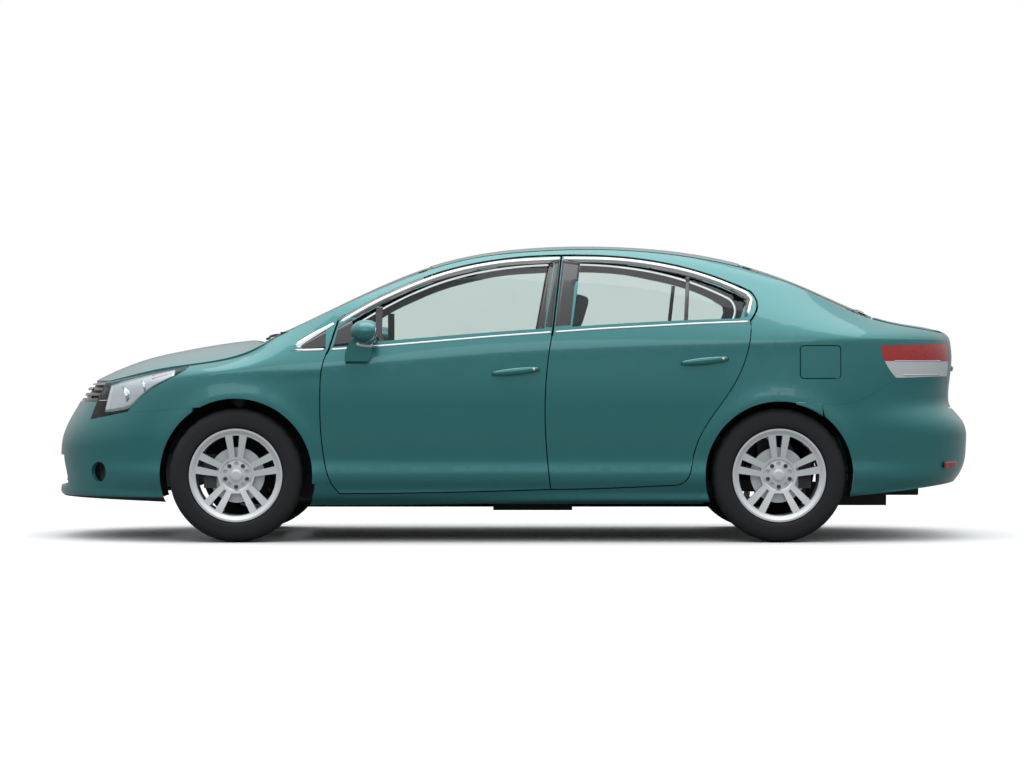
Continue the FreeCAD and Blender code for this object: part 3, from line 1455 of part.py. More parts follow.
liner_parts = []
for sign in (-1, 1):
    liner_parts.append(liner(front_axle, front_arch, at_y(461), at_y(845), 560,
                             [strut_opening()], sign))
    liner_parts.append(liner(rear_axle, rear_arch, at_y(548), at_y(800), 520,
                             [arm_opening()], sign))
feature("wheel_liners", Part.makeCompound(liner_parts))

# Engine, suspension, exhaust and tank.

engine = block("engine", (size("engine_length"), size("engine_width"), size("engine_height")),
               (front_axle - 210 - size("engine_length"), -size("engine_width") / 2, floor_height + 45))
engine_shape = doc.addObject("Part::Chamfer", "engine_block")
engine_shape.Base = engine
doc.recompute()
engine_shape.Edges = [(k, 40.0, 40.0) for k in (2, 4, 6, 8)]
engine_shape.Label = "engine_block"
PIECES.append(engine_shape)

arms = []
for sign in (-1, 1):
    low, high = sorted((sign * 300.0, sign * float(kingpin_y)))
    arms.append(block(f"lower_arm_{high:.0f}", (70, high - low, 22), (front_axle - 35, low, axle_height - 142)))
    arms.append(cylinder(f"ball_seat_{high:.0f}", 24, 30 - float(seat_gap),
                         (front_axle, sign * kingpin_y, axle_height - 142), (0, 0, 1)))
cradle = block("cradle", (260, 700, 60), (front_axle - 60, -350, axle_height - 160))
rack = cylinder("rack", 24, 640, (front_axle + 150, -320, axle_height - 75), (0, 1, 0))
rack_seat = block("rack_seat", (50, 300, 60), (front_axle + 125, -150, axle_height - 130))
mount_legs = [block(f"mount_leg_{k}", (60, 44, at_z(430) - float(axle_height) + 160 - float(seat_gap)),
                    (front_axle + 60, k * at_y(382) - (0 if k > 0 else 44), axle_height - 160)) for k in (-1, 1)]
mount_bars = [block(f"mount_bar_{k}", (60, 90, 50),
                    (front_axle + 60, k * 340 - (0 if k > 0 else 90), axle_height - 160)) for k in (-1, 1)]
fused("front_suspension", arms + [cradle, rack, rack_seat] + mount_legs + mount_bars)

rear_items = [block("twist_beam", (64, 1180, 60), (rear_axle - 140, -590, axle_height - 90))]
for sign in (-1, 1):
    low, high = sorted((sign * 570.0, sign * 620.0))
    rear_items.append(block(f"trailing_arm_{high:.0f}", (430, 50, 56), (rear_axle - 400, low, axle_height - 88)))
    rear_items.append(block(f"carrier_{high:.0f}", (90, 50, 130), (rear_axle - 45, low, axle_height - 88)))
    hub_reach = half_track + HUB_FACE - 50 - seat_gap - 575
    rear_items.append(cylinder(f"spindle_{high:.0f}", 34, hub_reach, (rear_axle, sign * 575, axle_height),
                               (0, sign, 0)))
    rear_items.append(caliper(f"rear_caliper_{high:.0f}", rear_axle, sign, False))
    tie_low, tie_high = sorted((sign * 590.0, sign * float(disc_inner - 17)))
    rear_items.append(block(f"rear_tie_{high:.0f}", (126, tie_high - tie_low, 40), (rear_axle + 10, tie_low,
                                                                                 axle_height - 20)))
    rear_items.append(cylinder(f"damper_{high:.0f}", 20, 405, (rear_axle + 12, sign * 596, axle_height - 40),
                               (0, 0, 1)))
    rear_items.append(block(f"bushing_{high:.0f}", (60, 40, floor_height + 130 - plate - seat_gap - axle_height + 40),
                            (rear_axle - 400, low, axle_height - 40)))
fused("rear_suspension", rear_items)

pipe_y = 250.0
pipe_z = 160.0
pipe_radius = size("exhaust_radius")
pipe = cylinder("pipe", pipe_radius, at_x(1560) - at_x(-1150), (at_x(-1150), pipe_y, pipe_z), (1, 0, 0))
muffler = block("muffler", (430, 190, 120), (at_x(1555), pipe_y - 95, pipe_z - 15))
tail_pipe = cylinder("tail_pipe", pipe_radius * 0.9, 190, (at_x(1555) + 420, pipe_y, pipe_z + 60), (1, 0, 0))
mid_box = block("mid_muffler", (420, 160, 80), (at_x(-100), pipe_y - 80, pipe_z - 42))
hangers = [block(f"hanger_{k}", (30, 14, deck_level - plate - pipe_z - 100 - float(seat_gap)),
                 (at_x(x), pipe_y - 7, pipe_z + 100)) for k, x in enumerate((1620, 1900))]
fused("exhaust", [pipe, muffler, tail_pipe, mid_box] + hangers)

tank_height = deck_level - plate - 205 - float(seat_gap)
tank = block("tank", (at_x(1120) - at_x(862), 700, tank_height), (at_x(862), -520, 205))
tank_shape = doc.addObject("Part::Chamfer", "fuel_tank")
tank_shape.Base = tank
doc.recompute()
tank_shape.Edges = [(k, 22.0, 22.0) for k in (1, 3, 5, 7)]
tank_shape.Label = "fuel_tank"
PIECES.append(tank_shape)
doc.recompute()

# Cabin.

dash_face = outline(
    [(-1056, 700), (-1056, 925)],
    [(-1056, 925), (-960, 965), (-860, 962), (-800, 925)],
    [(-800, 925), (-760, 860), (-770, 760), (-830, 690)],
    [(-830, 690), (-1056, 700)],
)
dash = across(dash_face, -at_y(690), at_y(690))
console_face = outline(
    [(-830, 300), (-830, 720)], [(-830, 720), (-700, 560), (-560, 500), (-60, 490)],
    [(-60, 490), (40, 480), (40, 300)], [(40, 300), (-830, 300)],
)
console = across(console_face, -at_y(96), at_y(96))
console = console.cut(box(-2000, 2000, -FAR, FAR, 0, floor_z + 110 + float(seat_gap)))
HOOD_Y = 370.0
binnacle = across(outline([(-950, 940), (-950, 985)], [(-950, 985), (-860, 1000), (-790, 985), (-770, 930)],
                          [(-770, 930), (-950, 940)]), -at_y(HOOD_Y + 170), -at_y(HOOD_Y - 170))
wheel_centre = real_point(-612, -HOOD_Y, 880)
column_axis = Vector(math.cos(math.radians(24)), 0, math.sin(math.radians(24)))
column = Part.makeCylinder(30, 260, wheel_centre - column_axis * 300, column_axis)
dashboard = dash.fuse(console).fuse(binnacle).fuse(column)
feature("dashboard", largest(dashboard))

steering_rim = float(size("steering_rim"))
ring = Part.makeTorus(steering_rim - 15, 15)
steering = ring.fuse(Part.makeCylinder(62, 30, Vector(0, 0, -36)))
for angle in (0, 180, 270):
    spoke = Part.makeBox(steering_rim - 40, 34, 14, Vector(30, -17, -22))
    spoke.rotate(Vector(0, 0, 0), Vector(0, 0, 1), angle)
    steering = steering.fuse(spoke)
steering = steering.fuse(Part.makeCylinder(20, 10, Vector(0, 0, -45)))
turned = Rotation(Vector(0, 0, 1), column_axis)
steering.Placement = Placement(wheel_centre + column_axis * (5 + float(seat_gap)), turned)
feature("steering_wheel", largest(steering))


seat_half = float(size("seat_width")) / 2
seat_base_face = outline(
    [(-300, 330), (-330, 450), (-310, 480)], [(-310, 480), (-100, 455), (130, 440)],
    [(130, 440), (130, 330)], [(130, 330), (-300, 330)],
)
seat_back_face = outline(
    [(60, 430), (150, 760), (270, 1040)], [(270, 1040), (310, 1060), (350, 1040)],
    [(350, 1040), (270, 760), (190, 330)], [(190, 330), (60, 330)], [(60, 330), (60, 430)],
)
headrest_face = outline(
    [(300, 1090), (318, 1235)], [(318, 1235), (350, 1255), (385, 1235)],
    [(385, 1235), (370, 1090)], [(370, 1090), (300, 1090)],
)
seat_parts = []
for sign in (-1, 1):
    y0 = sign * HOOD_Y - seat_half
    y1 = sign * HOOD_Y + seat_half
    base = across(seat_base_face, y0, y1)
    back = across(seat_back_face, y0, y1)
    head = across(headrest_face, sign * HOOD_Y - 130, sign * HOOD_Y + 130)
    stalks = box(at_x(330), at_x(342), sign * HOOD_Y - 50, sign * HOOD_Y + 50, at_z(1030), at_z(1110))
    frame = box(at_x(-230), at_x(100), y0 + 60, y1 - 60, floor_z + float(seat_gap), at_z(332))
    seat_parts.append(largest(base.fuse(back).fuse(head).fuse(stalks).fuse(frame)))
feature("front_seats", Part.makeCompound(seat_parts))

bench = outline([(800, deck_level + 0.3), (800, 480), (830, 510)], [(830, 510), (1000, 500), (1180, 470)],
                [(1180, 470), (1180, deck_level + 0.3)], [(1180, deck_level + 0.3), (800, deck_level + 0.3)])
bench_back = outline(
    [(1120, 470), (1180, 760), (1240, 1020)], [(1240, 1020), (1280, 1050), (1329, 1040)],
    [(1329, 1040), (1329, deck_level + 0.3)], [(1329, deck_level + 0.3), (1120, deck_level + 0.3)],
    [(1120, deck_level + 0.3), (1120, 470)],
)
rear_bench = across(bench, -at_y(540), at_y(540)).fuse(across(bench_back, -at_y(540), at_y(540)))
feature("rear_seat", largest(rear_bench))

# Mirrors on the front doors.
mirror_centre = real_point(-722, 940, 1046)
housing = Part.makeSphere(1.0)
shape_matrix = FreeCAD.Matrix()
shape_matrix.scale(78, 84, 60)
housing = housing.transformGeometry(shape_matrix)
housing.translate(mirror_centre)
housing = housing.cut(box(mirror_centre.x + 50, mirror_centre.x + 100, 0, 2000, 0, 2000))
foot_face = outline([(-828, 900), (-828, 930)], [(-828, 930), (-790, 1010), (-735, 1040)],
                    [(-735, 1040), (-700, 1000), (-715, 900)], [(-715, 900), (-828, 900)])
foot = across(foot_face, at_y(860), at_y(925))
mirror = housing.fuse(foot).cut(mirrored(front_door))
door_block = mirrored(side_slab(front_ws, lambda x: 800.0, lambda x: 1090.0, -0.3, 200.0, spacing=45.0))
mirror = largest(mirror.cut(door_block))
feature("mirror_right", mirror)
feature("mirror_left", mirrored(mirror))


def export_pieces():
    os.makedirs("parts", exist_ok=True)
    faults = []
    for piece in PIECES:
        state = list(piece.State)
        if "Invalid" in state or "Error" in state:
            faults.append(f"{piece.Label} failed: {state}")
        elif piece.Shape.isNull() or not piece.Shape.isValid():
            faults.append(f"{piece.Label} has no valid shape")
    for piece in PIECES:
        piece.Shape.exportStep(f"parts/{piece.Label}.step")
    if faults:
        raise RuntimeError("; ".join(faults))


doc.recompute()
export_pieces()
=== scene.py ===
import json
import math
import bpy
from mathutils import Matrix, Vector
from mathutils.bvhtree import BVHTree

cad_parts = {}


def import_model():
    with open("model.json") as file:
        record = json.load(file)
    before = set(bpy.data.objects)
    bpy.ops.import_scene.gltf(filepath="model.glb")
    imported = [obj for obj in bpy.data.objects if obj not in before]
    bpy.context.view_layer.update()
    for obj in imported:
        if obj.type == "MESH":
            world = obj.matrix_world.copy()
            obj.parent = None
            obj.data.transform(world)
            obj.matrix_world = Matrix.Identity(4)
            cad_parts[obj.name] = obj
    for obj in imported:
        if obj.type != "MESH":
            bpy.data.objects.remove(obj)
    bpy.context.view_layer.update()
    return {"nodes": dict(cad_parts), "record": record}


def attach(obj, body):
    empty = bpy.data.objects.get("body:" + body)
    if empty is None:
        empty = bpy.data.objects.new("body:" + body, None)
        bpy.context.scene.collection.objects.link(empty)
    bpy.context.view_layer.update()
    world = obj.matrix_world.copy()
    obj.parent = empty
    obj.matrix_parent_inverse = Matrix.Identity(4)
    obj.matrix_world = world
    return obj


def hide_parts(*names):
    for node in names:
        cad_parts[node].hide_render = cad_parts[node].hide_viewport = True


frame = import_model()
nodes = frame["nodes"]

# Metres, nose towards -X, the car's left side towards -Y, ground at z = 0.

AXLE_X = {"front": -1.3725, "rear": 1.3275}
AXLE_Z = 0.334
HALF_TRACK = 0.775
CAMERA_DISTANCE = 15.9
CAMERA_HEIGHT = 0.788
FOCAL = 106.4
CABIN_X = (-1.0, 1.25)
CABIN_HALF = 0.797
CABIN_FLOOR_Z = 0.30
WAIST_Z = 0.99
WALL_LEAN = 0.505
PILLAR_X = (0.05, 0.60)
PILLAR_Z = (1.02, 1.41)


# Materials.

def srgb(red, green, blue):
    """A colour written in 0 to 255 steps, as the shader wants it."""
    def linear(step):
        share = step / 255
        return share / 12.92 if share <= 0.04045 else ((share + 0.055) / 1.055) ** 2.4
    return (linear(red), linear(green), linear(blue), 1.0)


def tinted(colour, share):
    return tuple(min(1.0, max(0.0, c * share)) for c in colour[:3]) + (1.0,)


def surface(name, colour, rough, metal=0.0, coat=0.0, grain=60.0, spread=0.06, bump=0.0, rough_spread=0.05,
            coat_rough=0.03, sheen=0.0):
    """A material whose colour and roughness drift a little over the surface, with an optional fine relief."""
    material = bpy.data.materials.new(name)
    material.use_nodes = True
    tree = material.node_tree
    shader = tree.nodes["Principled BSDF"]
    place = tree.nodes.new("ShaderNodeTexCoord")
    noise = tree.nodes.new("ShaderNodeTexNoise")
    noise.inputs["Scale"].default_value = grain
    noise.inputs["Detail"].default_value = 3.0
    tree.links.new(place.outputs["Object"], noise.inputs["Vector"])
    ramp = tree.nodes.new("ShaderNodeValToRGB")
    ramp.color_ramp.elements[0].position = 0.3
    ramp.color_ramp.elements[0].color = tinted(colour, 1 - spread)
    ramp.color_ramp.elements[1].position = 0.7
    ramp.color_ramp.elements[1].color = tinted(colour, 1 + spread)
    tree.links.new(noise.outputs["Fac"], ramp.inputs["Fac"])
    tree.links.new(ramp.outputs["Color"], shader.inputs["Base Color"])
    level = tree.nodes.new("ShaderNodeMapRange")
    level.inputs["To Min"].default_value = max(0.0, rough - rough_spread)
    level.inputs["To Max"].default_value = min(1.0, rough + rough_spread)
    tree.links.new(noise.outputs["Fac"], level.inputs["Value"])
    tree.links.new(level.outputs["Result"], shader.inputs["Roughness"])
    shader.inputs["Metallic"].default_value = metal
    shader.inputs["Coat Weight"].default_value = coat
    shader.inputs["Coat Roughness"].default_value = coat_rough
    if sheen:
        shader.inputs["Sheen Weight"].default_value = sheen
    if bump:
        relief = tree.nodes.new("ShaderNodeBump")
        relief.inputs["Strength"].default_value = bump
        relief.inputs["Distance"].default_value = 0.001
        tree.links.new(noise.outputs["Fac"], relief.inputs["Height"])
        tree.links.new(relief.outputs["Normal"], shader.inputs["Normal"])
    return material


def pane(name, tint, rough=0.02, ior=1.45):
    """Thin glass: it lets light through with a tint, and mirrors by Fresnel on its outer faces."""
    material = bpy.data.materials.new(name)
    material.use_nodes = True
    tree = material.node_tree
    tree.nodes.clear()
    output = tree.nodes.new("ShaderNodeOutputMaterial")
    mix = tree.nodes.new("ShaderNodeMixShader")
    clear = tree.nodes.new("ShaderNodeBsdfTransparent")
    gloss = tree.nodes.new("ShaderNodeBsdfGlossy")
    gloss.inputs["Roughness"].default_value = rough
    fresnel = tree.nodes.new("ShaderNodeFresnel")
    fresnel.inputs["IOR"].default_value = ior
    geometry = tree.nodes.new("ShaderNodeNewGeometry")
    front = tree.nodes.new("ShaderNodeMath")
    front.operation = "SUBTRACT"
    front.inputs[0].default_value = 1.0
    tree.links.new(geometry.outputs["Backfacing"], front.inputs[1])
    share = tree.nodes.new("ShaderNodeMath")
    share.operation = "MULTIPLY"
    tree.links.new(fresnel.outputs["Fac"], share.inputs[0])
    tree.links.new(front.outputs[0], share.inputs[1])
    place = tree.nodes.new("ShaderNodeTexCoord")
    noise = tree.nodes.new("ShaderNodeTexNoise")
    noise.inputs["Scale"].default_value = 3.0
    tree.links.new(place.outputs["Object"], noise.inputs["Vector"])
    ramp = tree.nodes.new("ShaderNodeValToRGB")
    ramp.color_ramp.elements[0].color = tinted(tint, 0.985)
    ramp.color_ramp.elements[1].color = tinted(tint, 1.015)
    tree.links.new(noise.outputs["Fac"], ramp.inputs["Fac"])
    tree.links.new(ramp.outputs["Color"], clear.inputs["Color"])
    tree.links.new(share.outputs[0], mix.inputs["Fac"])
    tree.links.new(clear.outputs[0], mix.inputs[1])
    tree.links.new(gloss.outputs[0], mix.inputs[2])
    tree.links.new(mix.outputs[0], output.inputs["Surface"])
    return material


def calc(tree, kind, first, second):
    """A number worked out by the shader from two sockets or values."""
    step = tree.nodes.new("ShaderNodeMath")
    step.operation = kind
    for socket, value in zip(step.inputs, (first, second)):
        if isinstance(value, (int, float)):
            socket.default_value = value
        else:
            tree.links.new(value, socket)
    return step.outputs[0]


def place_parts(tree):
    place = tree.nodes.new("ShaderNodeTexCoord")
    split = tree.nodes.new("ShaderNodeSeparateXYZ")
    tree.links.new(place.outputs["Object"], split.inputs["Vector"])
    return split.outputs


def below(level):
    """Where a surface lies lower than a height."""
    return lambda tree: calc(tree, "LESS_THAN", place_parts(tree)[2], level)


def facing_down(tree):
    shape = tree.nodes.new("ShaderNodeNewGeometry")
    split = tree.nodes.new("ShaderNodeSeparateXYZ")
    tree.links.new(shape.outputs["True Normal"], split.inputs["Vector"])
    return calc(tree, "LESS_THAN", split.outputs[2], -0.25)


def in_cabin(tree):
    """Where a surface lies inside the cabin, within the side walls, which lean in above the waist."""
    x, y, z = place_parts(tree)
    above = calc(tree, "MAXIMUM", calc(tree, "SUBTRACT", z, WAIST_Z), 0.0)
    reach = calc(tree, "ADD", calc(tree, "ABSOLUTE", y, 0.0), calc(tree, "MULTIPLY", above, WALL_LEAN))
    share = calc(tree, "LESS_THAN", reach, CABIN_HALF)
    for part, kind, limit in ((x, "GREATER_THAN", CABIN_X[0]), (x, "LESS_THAN", CABIN_X[1]),
                              (z, "GREATER_THAN", CABIN_FLOOR_Z)):
        share = calc(tree, "MULTIPLY", share, calc(tree, kind, part, limit))
    return share


def in_cabin_or_pillar(tree):
    """The cabin, with the whole middle pillar between the doors' window frames."""
    x, _, z = place_parts(tree)
    pillar = 1.0
    for part, kind, limit in ((x, "GREATER_THAN", PILLAR_X[0]), (x, "LESS_THAN", PILLAR_X[1]),
                              (z, "GREATER_THAN", PILLAR_Z[0]), (z, "LESS_THAN", PILLAR_Z[1])):
        pillar = calc(tree, "MULTIPLY", pillar, calc(tree, kind, part, limit))
    return calc(tree, "MAXIMUM", in_cabin(tree), pillar)


def parted(material, where, colour, rough, metal=0.0, coat=0.0):
    """Gives a part of the surface another finish."""
    tree = material.node_tree
    shader = tree.nodes["Principled BSDF"]
    share = where(tree)
    mix = tree.nodes.new("ShaderNodeMix")
    mix.data_type = "RGBA"
    tree.links.new(share, mix.inputs[0])
    tree.links.new(shader.inputs["Base Color"].links[0].from_socket, mix.inputs[6])
    mix.inputs[7].default_value = colour
    tree.links.new(mix.outputs[2], shader.inputs["Base Color"])
    rest = calc(tree, "SUBTRACT", 1.0, share)
    for name, value in (("Metallic", metal), ("Coat Weight", coat)):
        kept = calc(tree, "MULTIPLY", rest, shader.inputs[name].default_value)
        tree.links.new(calc(tree, "ADD", kept, calc(tree, "MULTIPLY", share, value)), shader.inputs[name])
    old = shader.inputs["Roughness"].links[0].from_socket
    kept = calc(tree, "MULTIPLY", rest, old)
    tree.links.new(calc(tree, "ADD", kept, calc(tree, "MULTIPLY", share, rough)), shader.inputs["Roughness"])
    return material


def body_paint(name):
    return surface(name, srgb(36, 119, 120), 0.34, metal=0.45, coat=1.0, grain=900.0, spread=0.10)


paint = body_paint("teal_paint")
TRIM_GREY = srgb(50, 52, 55)
LINING_GREY = srgb(150, 152, 150)
LIP_BLACK = srgb(30, 31, 33)
LIP_TOP = 0.222
TAIL_SPLIT = 0.902
cabin_paint = parted(body_paint("teal_paint_and_trim"), in_cabin, TRIM_GREY, 0.7)
side_paint = parted(body_paint("teal_paint_and_pillar"), in_cabin_or_pillar, TRIM_GREY, 0.7)
roof_paint = parted(body_paint("teal_paint_and_lining"), facing_down, LINING_GREY, 0.9)
bumper_paint = parted(body_paint("teal_paint_and_lip"), below(LIP_TOP), LIP_BLACK, 0.6)
chrome = surface("bright_trim", srgb(205, 208, 210), 0.14, metal=1.0, grain=30.0, spread=0.02)
gloss_black = surface("gloss_black", srgb(24, 26, 28), 0.16, coat=0.6, grain=40.0, spread=0.12)
black = surface("black_plastic", srgb(30, 31, 33), 0.62, grain=260.0, spread=0.18, bump=0.35)
tyre_black = surface("tyre_black", srgb(27, 30, 32), 0.78, grain=120.0, spread=0.16, bump=0.4)
alloy = surface("silver_alloy", srgb(226, 229, 231), 0.30, metal=0.35, coat=0.6, grain=500.0, spread=0.05)
iron = surface("cast_iron", srgb(84, 84, 86), 0.55, metal=0.8, grain=160.0, spread=0.14, bump=0.3)
steel = surface("floor_steel", srgb(58, 60, 62), 0.55, metal=0.5, grain=24.0, spread=0.12)
exhaust_steel = surface("exhaust_steel", srgb(66, 65, 63), 0.5, metal=0.6, grain=30.0, spread=0.12)
engine_metal = surface("engine_metal", srgb(120, 122, 124), 0.48, metal=0.7, grain=60.0, spread=0.12)
dash_grey = surface("dash_grey", srgb(58, 60, 63), 0.66, grain=420.0, spread=0.12, bump=0.5)
cloth = surface("seat_cloth", srgb(86, 92, 96), 0.86, grain=520.0, spread=0.16, bump=0.6, sheen=0.3)
leather = surface("wheel_leather", srgb(36, 37, 39), 0.52, grain=380.0, spread=0.14, bump=0.5)
reflector = surface("reflector", srgb(214, 217, 219), 0.20, metal=0.95, grain=18.0, spread=0.04)
plate_white = surface("blank_plate", srgb(222, 223, 220), 0.45, grain=50.0, spread=0.02)
amber = surface("amber_lens", srgb(224, 132, 30), 0.25, coat=0.8, grain=70.0, spread=0.10)
red_lens = surface("red_lens", srgb(150, 20, 22), 0.18, coat=1.0, grain=70.0, spread=0.14)
tail_lens = surface("tail_lens", srgb(172, 32, 34), 0.16, coat=1.0, grain=70.0, spread=0.14)
parted(tail_lens, below(TAIL_SPLIT), srgb(208, 213, 216), 0.2, metal=0.2, coat=1.0)
window_glass = pane("window_glass", srgb(237, 242, 241))
lamp_glass = pane("lamp_glass", srgb(242, 246, 248))
mirror_glass = surface("mirror_glass", srgb(200, 206, 210), 0.04, metal=1.0, grain=10.0, spread=0.01)
SLOT_LOOK = {"paint": paint, "window_glass": window_glass, "lamp_clear": lamp_glass, "lamp_red": red_lens,
             "grille_plastic": gloss_black, "black_plastic": black, "floor_steel": steel,
             "dash_plastic": dash_grey, "seat_fabric": cloth, "engine_metal": engine_metal,
             "chassis_steel": steel, "exhaust_steel": exhaust_steel, "tank_plastic": black,
             "wheel_leather": leather, "knuckle_iron": iron, "alloy": alloy, "tyre_rubber": tyre_black}
NODE_LOOK = {"body_sides": side_paint, "door_front_left": cabin_paint, "door_front_right": cabin_paint,
             "door_rear_left": cabin_paint, "door_rear_right": cabin_paint, "roof_panel": roof_paint,
             "front_bumper": bumper_paint, "tail_lamps": tail_lens}
for entry in frame["record"]["subparts"]:
    for slot in nodes[entry["node"]].material_slots:
        slot.material = NODE_LOOK.get(entry["node"], SLOT_LOOK[entry["material_slot"]])


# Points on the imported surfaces.

class Skin:
    """The joined surface of some nodes, with points found on it from each side of the car."""

    def __init__(self, *names):
        points = []
        faces = []
        for name in names:
            mesh = nodes[name].data
            first = len(points)
            points += [tuple(v.co) for v in mesh.vertices]
            faces += [[first + k for k in p.vertices] for p in mesh.polygons]
        self.tree = BVHTree.FromPolygons(points, faces)

    def cast(self, start, way):
        return self.tree.ray_cast(Vector(start), Vector(way))[0]

    def left(self, x, z):
        return self.cast((x, -1.4, z), (0, 1, 0))

    def top(self, x, y):
        return self.cast((x, y, 2.2), (0, 0, -1))

    def nose(self, y, z):
        return self.cast((-3.2, y, z), (1, 0, 0))

    def tail(self, y, z):
        return self.cast((3.2, y, z), (-1, 0, 0))


def path(points, step):
    """Evenly spaced points on a smooth curve through a few points."""
    if len(points) == 2:
        dense = [tuple(a + (b - a) * k / 40 for a, b in zip(*points)) for k in range(41)]
    else:
        ends = [points[0]] + list(points) + [points[-1]]
        dense = []
        for k in range(len(points) - 1):
            p0, p1, p2, p3 = ends[k:k + 4]
            for s in range(24):
                t = s / 24
                dense.append(tuple(
                    0.5 * (2 * b + (c - a) * t + (2 * a - 5 * b + 4 * c - d) * t * t
                           + (3 * b - a - 3 * c + d) * t ** 3) for a, b, c, d in zip(p0, p1, p2, p3)))
        dense.append(tuple(points[-1]))
    along = [0.0]
    for a, b in zip(dense, dense[1:]):
        along.append(along[-1] + math.dist(a, b))
    count = max(2, round(along[-1] / step))
    result = []
    k = 0
    for s in range(count + 1):
        goal = along[-1] * s / count
        while k < len(dense) - 2 and along[k + 1] < goal:
            k += 1
        span = along[k + 1] - along[k] or 1.0
        t = (goal - along[k]) / span
        result.append(tuple(a + (b - a) * t for a, b in zip(dense[k], dense[k + 1])))
    return result


def beside(points, offset):
    """A path moved sideways, to the left of its own direction."""
    moved = []
    for k, (u, v) in enumerate(points):
        a = points[max(0, k - 1)]
        b = points[min(len(points) - 1, k + 1)]
        du, dv = b[0] - a[0], b[1] - a[1]
        size = math.hypot(du, dv) or 1.0
        shift = offset[k] if isinstance(offset, list) else offset
        moved.append((u - dv / size * shift, v + du / size * shift))
    return moved


def mesh_object(name, points, faces, material, smooth=True):
    mesh = bpy.data.meshes.new(name)
    mesh.from_pydata([tuple(p) for p in points], [], faces)
    mesh.update()
    mesh.materials.append(material)
    if smooth:
        mesh.shade_smooth()
    made = bpy.data.objects.new(name, mesh)
    bpy.context.scene.collection.objects.link(made)
    return made


def placed(name, points, faces, material, body, slot, smooth=True):
    made = mesh_object(name, points, faces, material, smooth)
    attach(made, body)
    return made


def both(name, points, faces, material, bodies, slot, smooth=True):
    """The same piece on the left side and, mirrored, on the right."""
    left = placed(name + "_left", points, faces, material, bodies[0], slot, smooth)
    flipped = [(x, -y, z) for x, y, z in points]
    right = placed(name + "_right", flipped, [f[::-1] for f in faces], material, bodies[1], slot, smooth)
    return left, right


def filled(grid):
    """Fills what the rays missed, and smooths away what fell into a gap, along each lane."""
    rows, lanes = len(grid), len(grid[0])
    met = [j for j in range(lanes) if any(grid[i][j] is not None for i in range(rows))]
    if not met:
        raise ValueError("no point meets the surface")
    for j in range(lanes):
        if j not in met:
            near = min(met, key=lambda k: abs(k - j))
            for i in range(rows):
                grid[i][j] = grid[i][near]
    for j in range(lanes):
        lane = [grid[i][j] for i in range(rows)]
        known = [k for k in range(rows) if lane[k] is not None]
        for i in range(rows):
            if lane[i] is None:
                near = min(known, key=lambda k: abs(k - i))
                lane[i] = lane[near]
        for i in range(rows):
            window = sorted(lane[max(0, i - 2):i + 3])
            grid[i][j] = window[len(window) // 2]
    return grid


AXES = {"left": (1, -1.0), "top": (2, 1.0), "nose": (0, -1.0), "tail": (0, 1.0)}


def laid(skin, view, grid, rise, sink):
    """A closed sheet laid on the skin. grid has rows of (u, v); rise is the height above it for each lane."""
    axis, outward = AXES[view]
    cast = getattr(skin, view)
    rows, lanes = len(grid), len(grid[0])
    found = [[cast(*grid[i][j]) for j in range(lanes)] for i in range(rows)]
    level = filled([[None if p is None else p[axis] for p in row] for row in found])
    base = []
    for i in range(rows):
        row = []
        for j in range(lanes):
            spot = list(grid[i][j])
            spot.insert(axis, level[i][j])
            row.append(Vector(spot))
        base.append(row)
    upper = []
    lower = []
    for i in range(rows):
        for j in range(lanes):
            along = base[min(rows - 1, i + 1)][j] - base[max(0, i - 1)][j]
            over = base[i][min(lanes - 1, j + 1)] - base[i][max(0, j - 1)]
            normal = along.cross(over).normalized()
            if normal[axis] * outward < 0:
                normal = -normal
            upper.append(base[i][j] + normal * rise[j])
            lower.append(base[i][j] - normal * sink)
    count = rows * lanes
    faces = []
    for i in range(rows - 1):
        for j in range(lanes - 1):
            a = i * lanes + j
            b, c, d = a + 1, a + lanes + 1, a + lanes
            faces.append((a, b, c, d))
            faces.append((count + a, count + d, count + c, count + b))
    border = ([(0, j) for j in range(lanes)] + [(i, lanes - 1) for i in range(1, rows)]
              + [(rows - 1, j) for j in range(lanes - 2, -1, -1)] + [(i, 0) for i in range(rows - 2, 0, -1)])
    ring = [i * lanes + j for i, j in border]
    for a, b in zip(ring, ring[1:] + ring[:1]):
        faces.append((b, a, count + a, count + b))
    points = upper + lower
    first = faces[0]
    face_normal = (points[first[1]] - points[first[0]]).cross(points[first[2]] - points[first[0]])
    if face_normal[axis] * outward < 0:
        faces = [f[::-1] for f in faces]
    return points, faces


def strip(skin, view, points, width, height, step=0.015, sink=0.0015):
    """A moulding with a rounded crown along a path on the skin. width may be a pair, for its two ends."""
    line = path(points, step)
    first, last = width if isinstance(width, tuple) else (width, width)
    widths = [first + (last - first) * k / (len(line) - 1) for k in range(len(line))]
    shares = (-0.5, -0.42, -0.2, 0.2, 0.42, 0.5)
    rise = [height * r for r in (0.15, 0.7, 1.0, 1.0, 0.7, 0.15)]
    lanes = [beside(line, [w * share for w in widths]) for share in shares]
    grid = [[lane[k] for lane in lanes] for k in range(len(line))]
    return laid(skin, view, grid, rise, sink)


def between(skin, view, low, high, rise, sink=0.0015, along=40, lanes=6):
    """A sheet between two edges, each a few points."""
    a = path(low, math.dist(low[0], low[-1]) / along)
    b = path(high, math.dist(high[0], high[-1]) / along)
    count = min(len(a), len(b)) - 1
    grid = []
    for k in range(count + 1):
        p = a[round(k * (len(a) - 1) / count)]
        q = b[round(k * (len(b) - 1) / count)]
        grid.append([tuple(s + (t - s) * j / (lanes - 1) for s, t in zip(p, q)) for j in range(lanes)])
    return laid(skin, view, grid, [rise] * lanes, sink)


